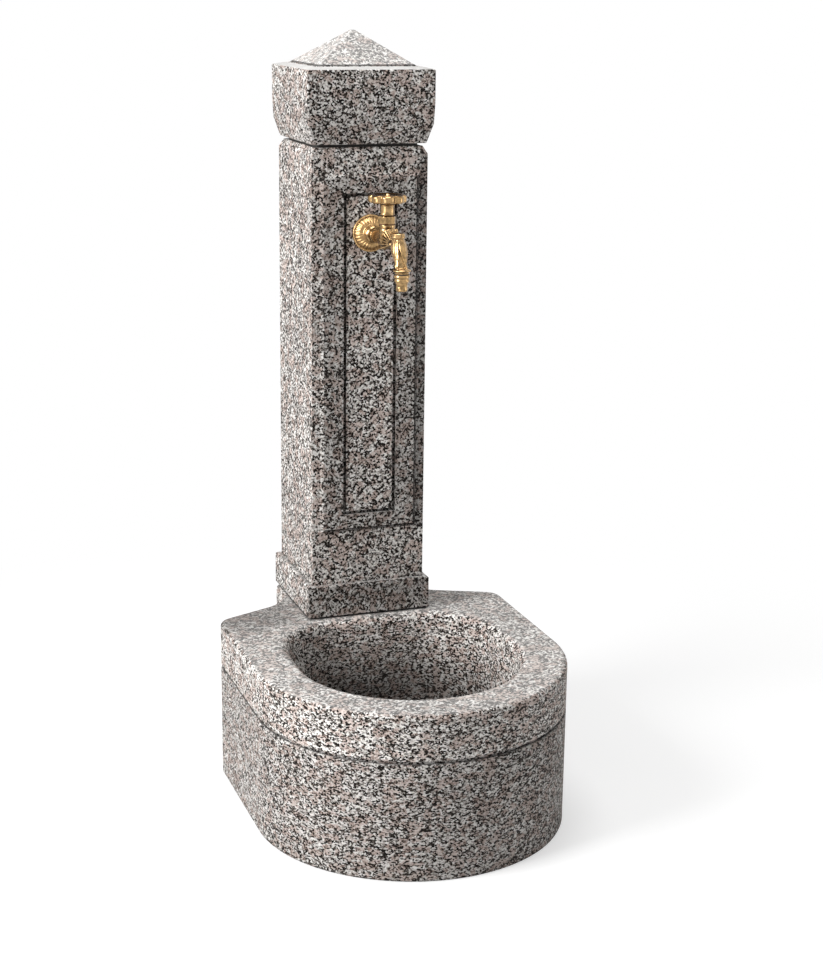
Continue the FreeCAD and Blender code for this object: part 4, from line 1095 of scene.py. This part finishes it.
def seen_rays(tree):
    """1 for rays from the camera, in a reflection or through glass, which see the background."""
    rays = tree.node("ShaderNodeLightPath")
    seen = tree.math_of("MAXIMUM", rays["Is Camera Ray"], rays["Is Glossy Ray"])
    return tree.math_of("MAXIMUM", seen, rays["Is Transmission Ray"])


def make_camera(scene, stage):
    camera = bpy.data.cameras.new("camera")
    camera.lens = stage.lens
    camera.sensor_width = 36.0
    camera.sensor_fit = "AUTO"
    camera.clip_end = 50.0
    eye = bpy.data.objects.new("camera", camera)
    eye.matrix_world = camera_matrix(stage)
    scene.collection.objects.link(eye)
    scene.camera = eye


def make_floor(stage):
    """Pale floor that keeps the shadow near the object and turns white further out."""
    mesh = bpy.data.meshes.new("floor")
    half = 8.0
    corners = [(-half, -half, 0), (half, -half, 0), (half, half, 0), (-half, half, 0)]
    mesh.from_pydata(corners, [], [(0, 1, 2, 3)])
    floor = add_object("floor", mesh)
    material = bpy.data.materials.new("pale_floor")
    material.use_nodes = True
    tree = Tree(material.node_tree)
    tree.tree.nodes.clear()
    plain = tree.node("ShaderNodeBsdfDiffuse", {}, {"Color": (*stage.floor, 1.0)})["BSDF"]
    glow = tree.node("ShaderNodeEmission", {}, {"Strength": 0.5})["Emission"]
    near = tree.node("ShaderNodeAddShader", {}, {0: plain, 1: glow})["Shader"]
    far = tree.node("ShaderNodeEmission", {}, {"Strength": 1.0})["Emission"]
    place = tree.node("ShaderNodeTexCoord")["Object"]
    reach = tree.node("ShaderNodeVectorMath", {"operation": "LENGTH"}, {0: place})["Value"]
    faded = tree.node("ShaderNodeMixShader", {},
                      {"Fac": reach.between(0.5, 1.3), 1: near, 2: far})["Shader"]
    shown = tree.node("ShaderNodeMixShader", {}, {"Fac": seen_rays(tree), 1: plain, 2: faded})
    tree.node("ShaderNodeOutputMaterial", {}, {"Surface": shown["Shader"]})
    mesh.materials.append(material)


def make_surroundings(scene, stage):
    """White background, which lights the object only at the ambient level."""
    world = bpy.data.worlds.new("surroundings")
    scene.world = world
    world.use_nodes = True
    tree = Tree(world.node_tree)
    tree.tree.nodes.clear()
    white = (1, 1, 1, 1)
    sky, backdrop = [tree.node("ShaderNodeBackground", {}, {"Color": white, "Strength": strength})
                     for strength in (stage.ambient, 1.0)]
    both = tree.node("ShaderNodeMixShader", {}, {"Fac": seen_rays(tree), 1: sky["Background"],
                                                 2: backdrop["Background"]})
    tree.node("ShaderNodeOutputWorld", {}, {"Surface": both["Shader"]})


def make_lamps(scene):
    for name, spot, target, size, power in LAMPS:
        lamp = bpy.data.lights.new(name, "AREA")
        lamp.shape = "RECTANGLE"
        lamp.size, lamp.size_y = size
        lamp.energy = power
        lamp_object = bpy.data.objects.new(name, lamp)
        aim = (Vector(target) - Vector(spot)).to_track_quat("-Z", "Y")
        lamp_object.matrix_world = Matrix.Translation(spot) @ aim.to_matrix().to_4x4()
        scene.collection.objects.link(lamp_object)


def make_stage(scene):
    """Camera, pale floor, white surroundings and soft lamps."""
    stage = scene.fountain_stage
    make_camera(scene, stage)
    make_floor(stage)
    make_surroundings(scene, stage)
    make_lamps(scene)
    scene.view_settings.view_transform = "Standard"


# Operators and panel

class FOUNTAIN_OT_stage(bpy.types.Operator):
    """Set up the camera, the floor and the lamps, and make the finishes"""
    bl_idname = "fountain.stage"
    bl_label = "Stage and finishes"

    def execute(self, context):
        make_finishes(context.scene)
        make_stage(context.scene)
        return {"FINISHED"}


class FOUNTAIN_OT_basin(bpy.types.Operator):
    """Build the granite basin"""
    bl_idname = "fountain.basin"
    bl_label = "Basin"

    def execute(self, context):
        make_basin(context.scene)
        return {"FINISHED"}


class FOUNTAIN_OT_column(bpy.types.Operator):
    """Build the granite column and its cap"""
    bl_idname = "fountain.column"
    bl_label = "Column and cap"

    def execute(self, context):
        make_column(context.scene)
        return {"FINISHED"}


class FOUNTAIN_OT_rosette(bpy.types.Operator):
    """Build the ribbed rosette on the column"""
    bl_idname = "fountain.rosette"
    bl_label = "Rosette"

    def execute(self, context):
        make_rosette(context.scene)
        return {"FINISHED"}


class FOUNTAIN_OT_tap_body(bpy.types.Operator):
    """Build the cast body of the tap with its shell and spout"""
    bl_idname = "fountain.tap_body"
    bl_label = "Tap body"

    def execute(self, context):
        make_tap_body(context.scene)
        make_nozzle()
        return {"FINISHED"}


class FOUNTAIN_OT_headwork(bpy.types.Operator):
    """Build the hexagon, the round nut and the handwheel"""
    bl_idname = "fountain.headwork"
    bl_label = "Headwork and handwheel"

    def execute(self, context):
        make_headwork()
        make_handwheel(context.scene)
        return {"FINISHED"}


class FOUNTAIN_OT_drain(bpy.types.Operator):
    """Build the strainer and give the inner parts their finishes"""
    bl_idname = "fountain.drain"
    bl_label = "Drain and inner parts"

    def execute(self, context):
        make_drain()
        dress_nodes()
        return {"FINISHED"}


class FOUNTAIN_PT_panel(bpy.types.Panel):
    """Lists the fountain's pieces and sizes"""
    bl_idname = "FOUNTAIN_PT_panel"
    bl_label = "Granite fountain"
    bl_space_type = "VIEW_3D"
    bl_region_type = "UI"
    bl_category = "Fountain"

    def draw(self, context):
        layout = self.layout
        for operator in operators:
            layout.operator(operator.bl_idname)
        for group in value_groups:
            box = layout.box()
            values = getattr(context.scene, group)
            for name in values.__annotations__:
                box.prop(values, name)


value_groups = {
    "fountain_stone": FountainStone,
    "fountain_brass": FountainBrass,
    "fountain_tap": FountainTap,
    "fountain_stage": FountainStage,
}
operators = [FOUNTAIN_OT_stage, FOUNTAIN_OT_basin, FOUNTAIN_OT_column, FOUNTAIN_OT_rosette,
             FOUNTAIN_OT_tap_body, FOUNTAIN_OT_headwork, FOUNTAIN_OT_drain]


def register():
    for made in [*value_groups.values(), *operators, FOUNTAIN_PT_panel]:
        bpy.utils.register_class(made)
    for name, made in value_groups.items():
        setattr(bpy.types.Scene, name, PointerProperty(type=made))


def unregister():
    for name in value_groups:
        delattr(bpy.types.Scene, name)
    for made in [FOUNTAIN_PT_panel, *reversed(operators), *value_groups.values()]:
        bpy.utils.unregister_class(made)


def main():
    register()
    bpy.ops.fountain.stage()
    bpy.ops.fountain.basin()
    bpy.ops.fountain.column()
    bpy.ops.fountain.rosette()
    bpy.ops.fountain.tap_body()
    bpy.ops.fountain.headwork()
    bpy.ops.fountain.drain()


if __name__ == "__main__":
    main()
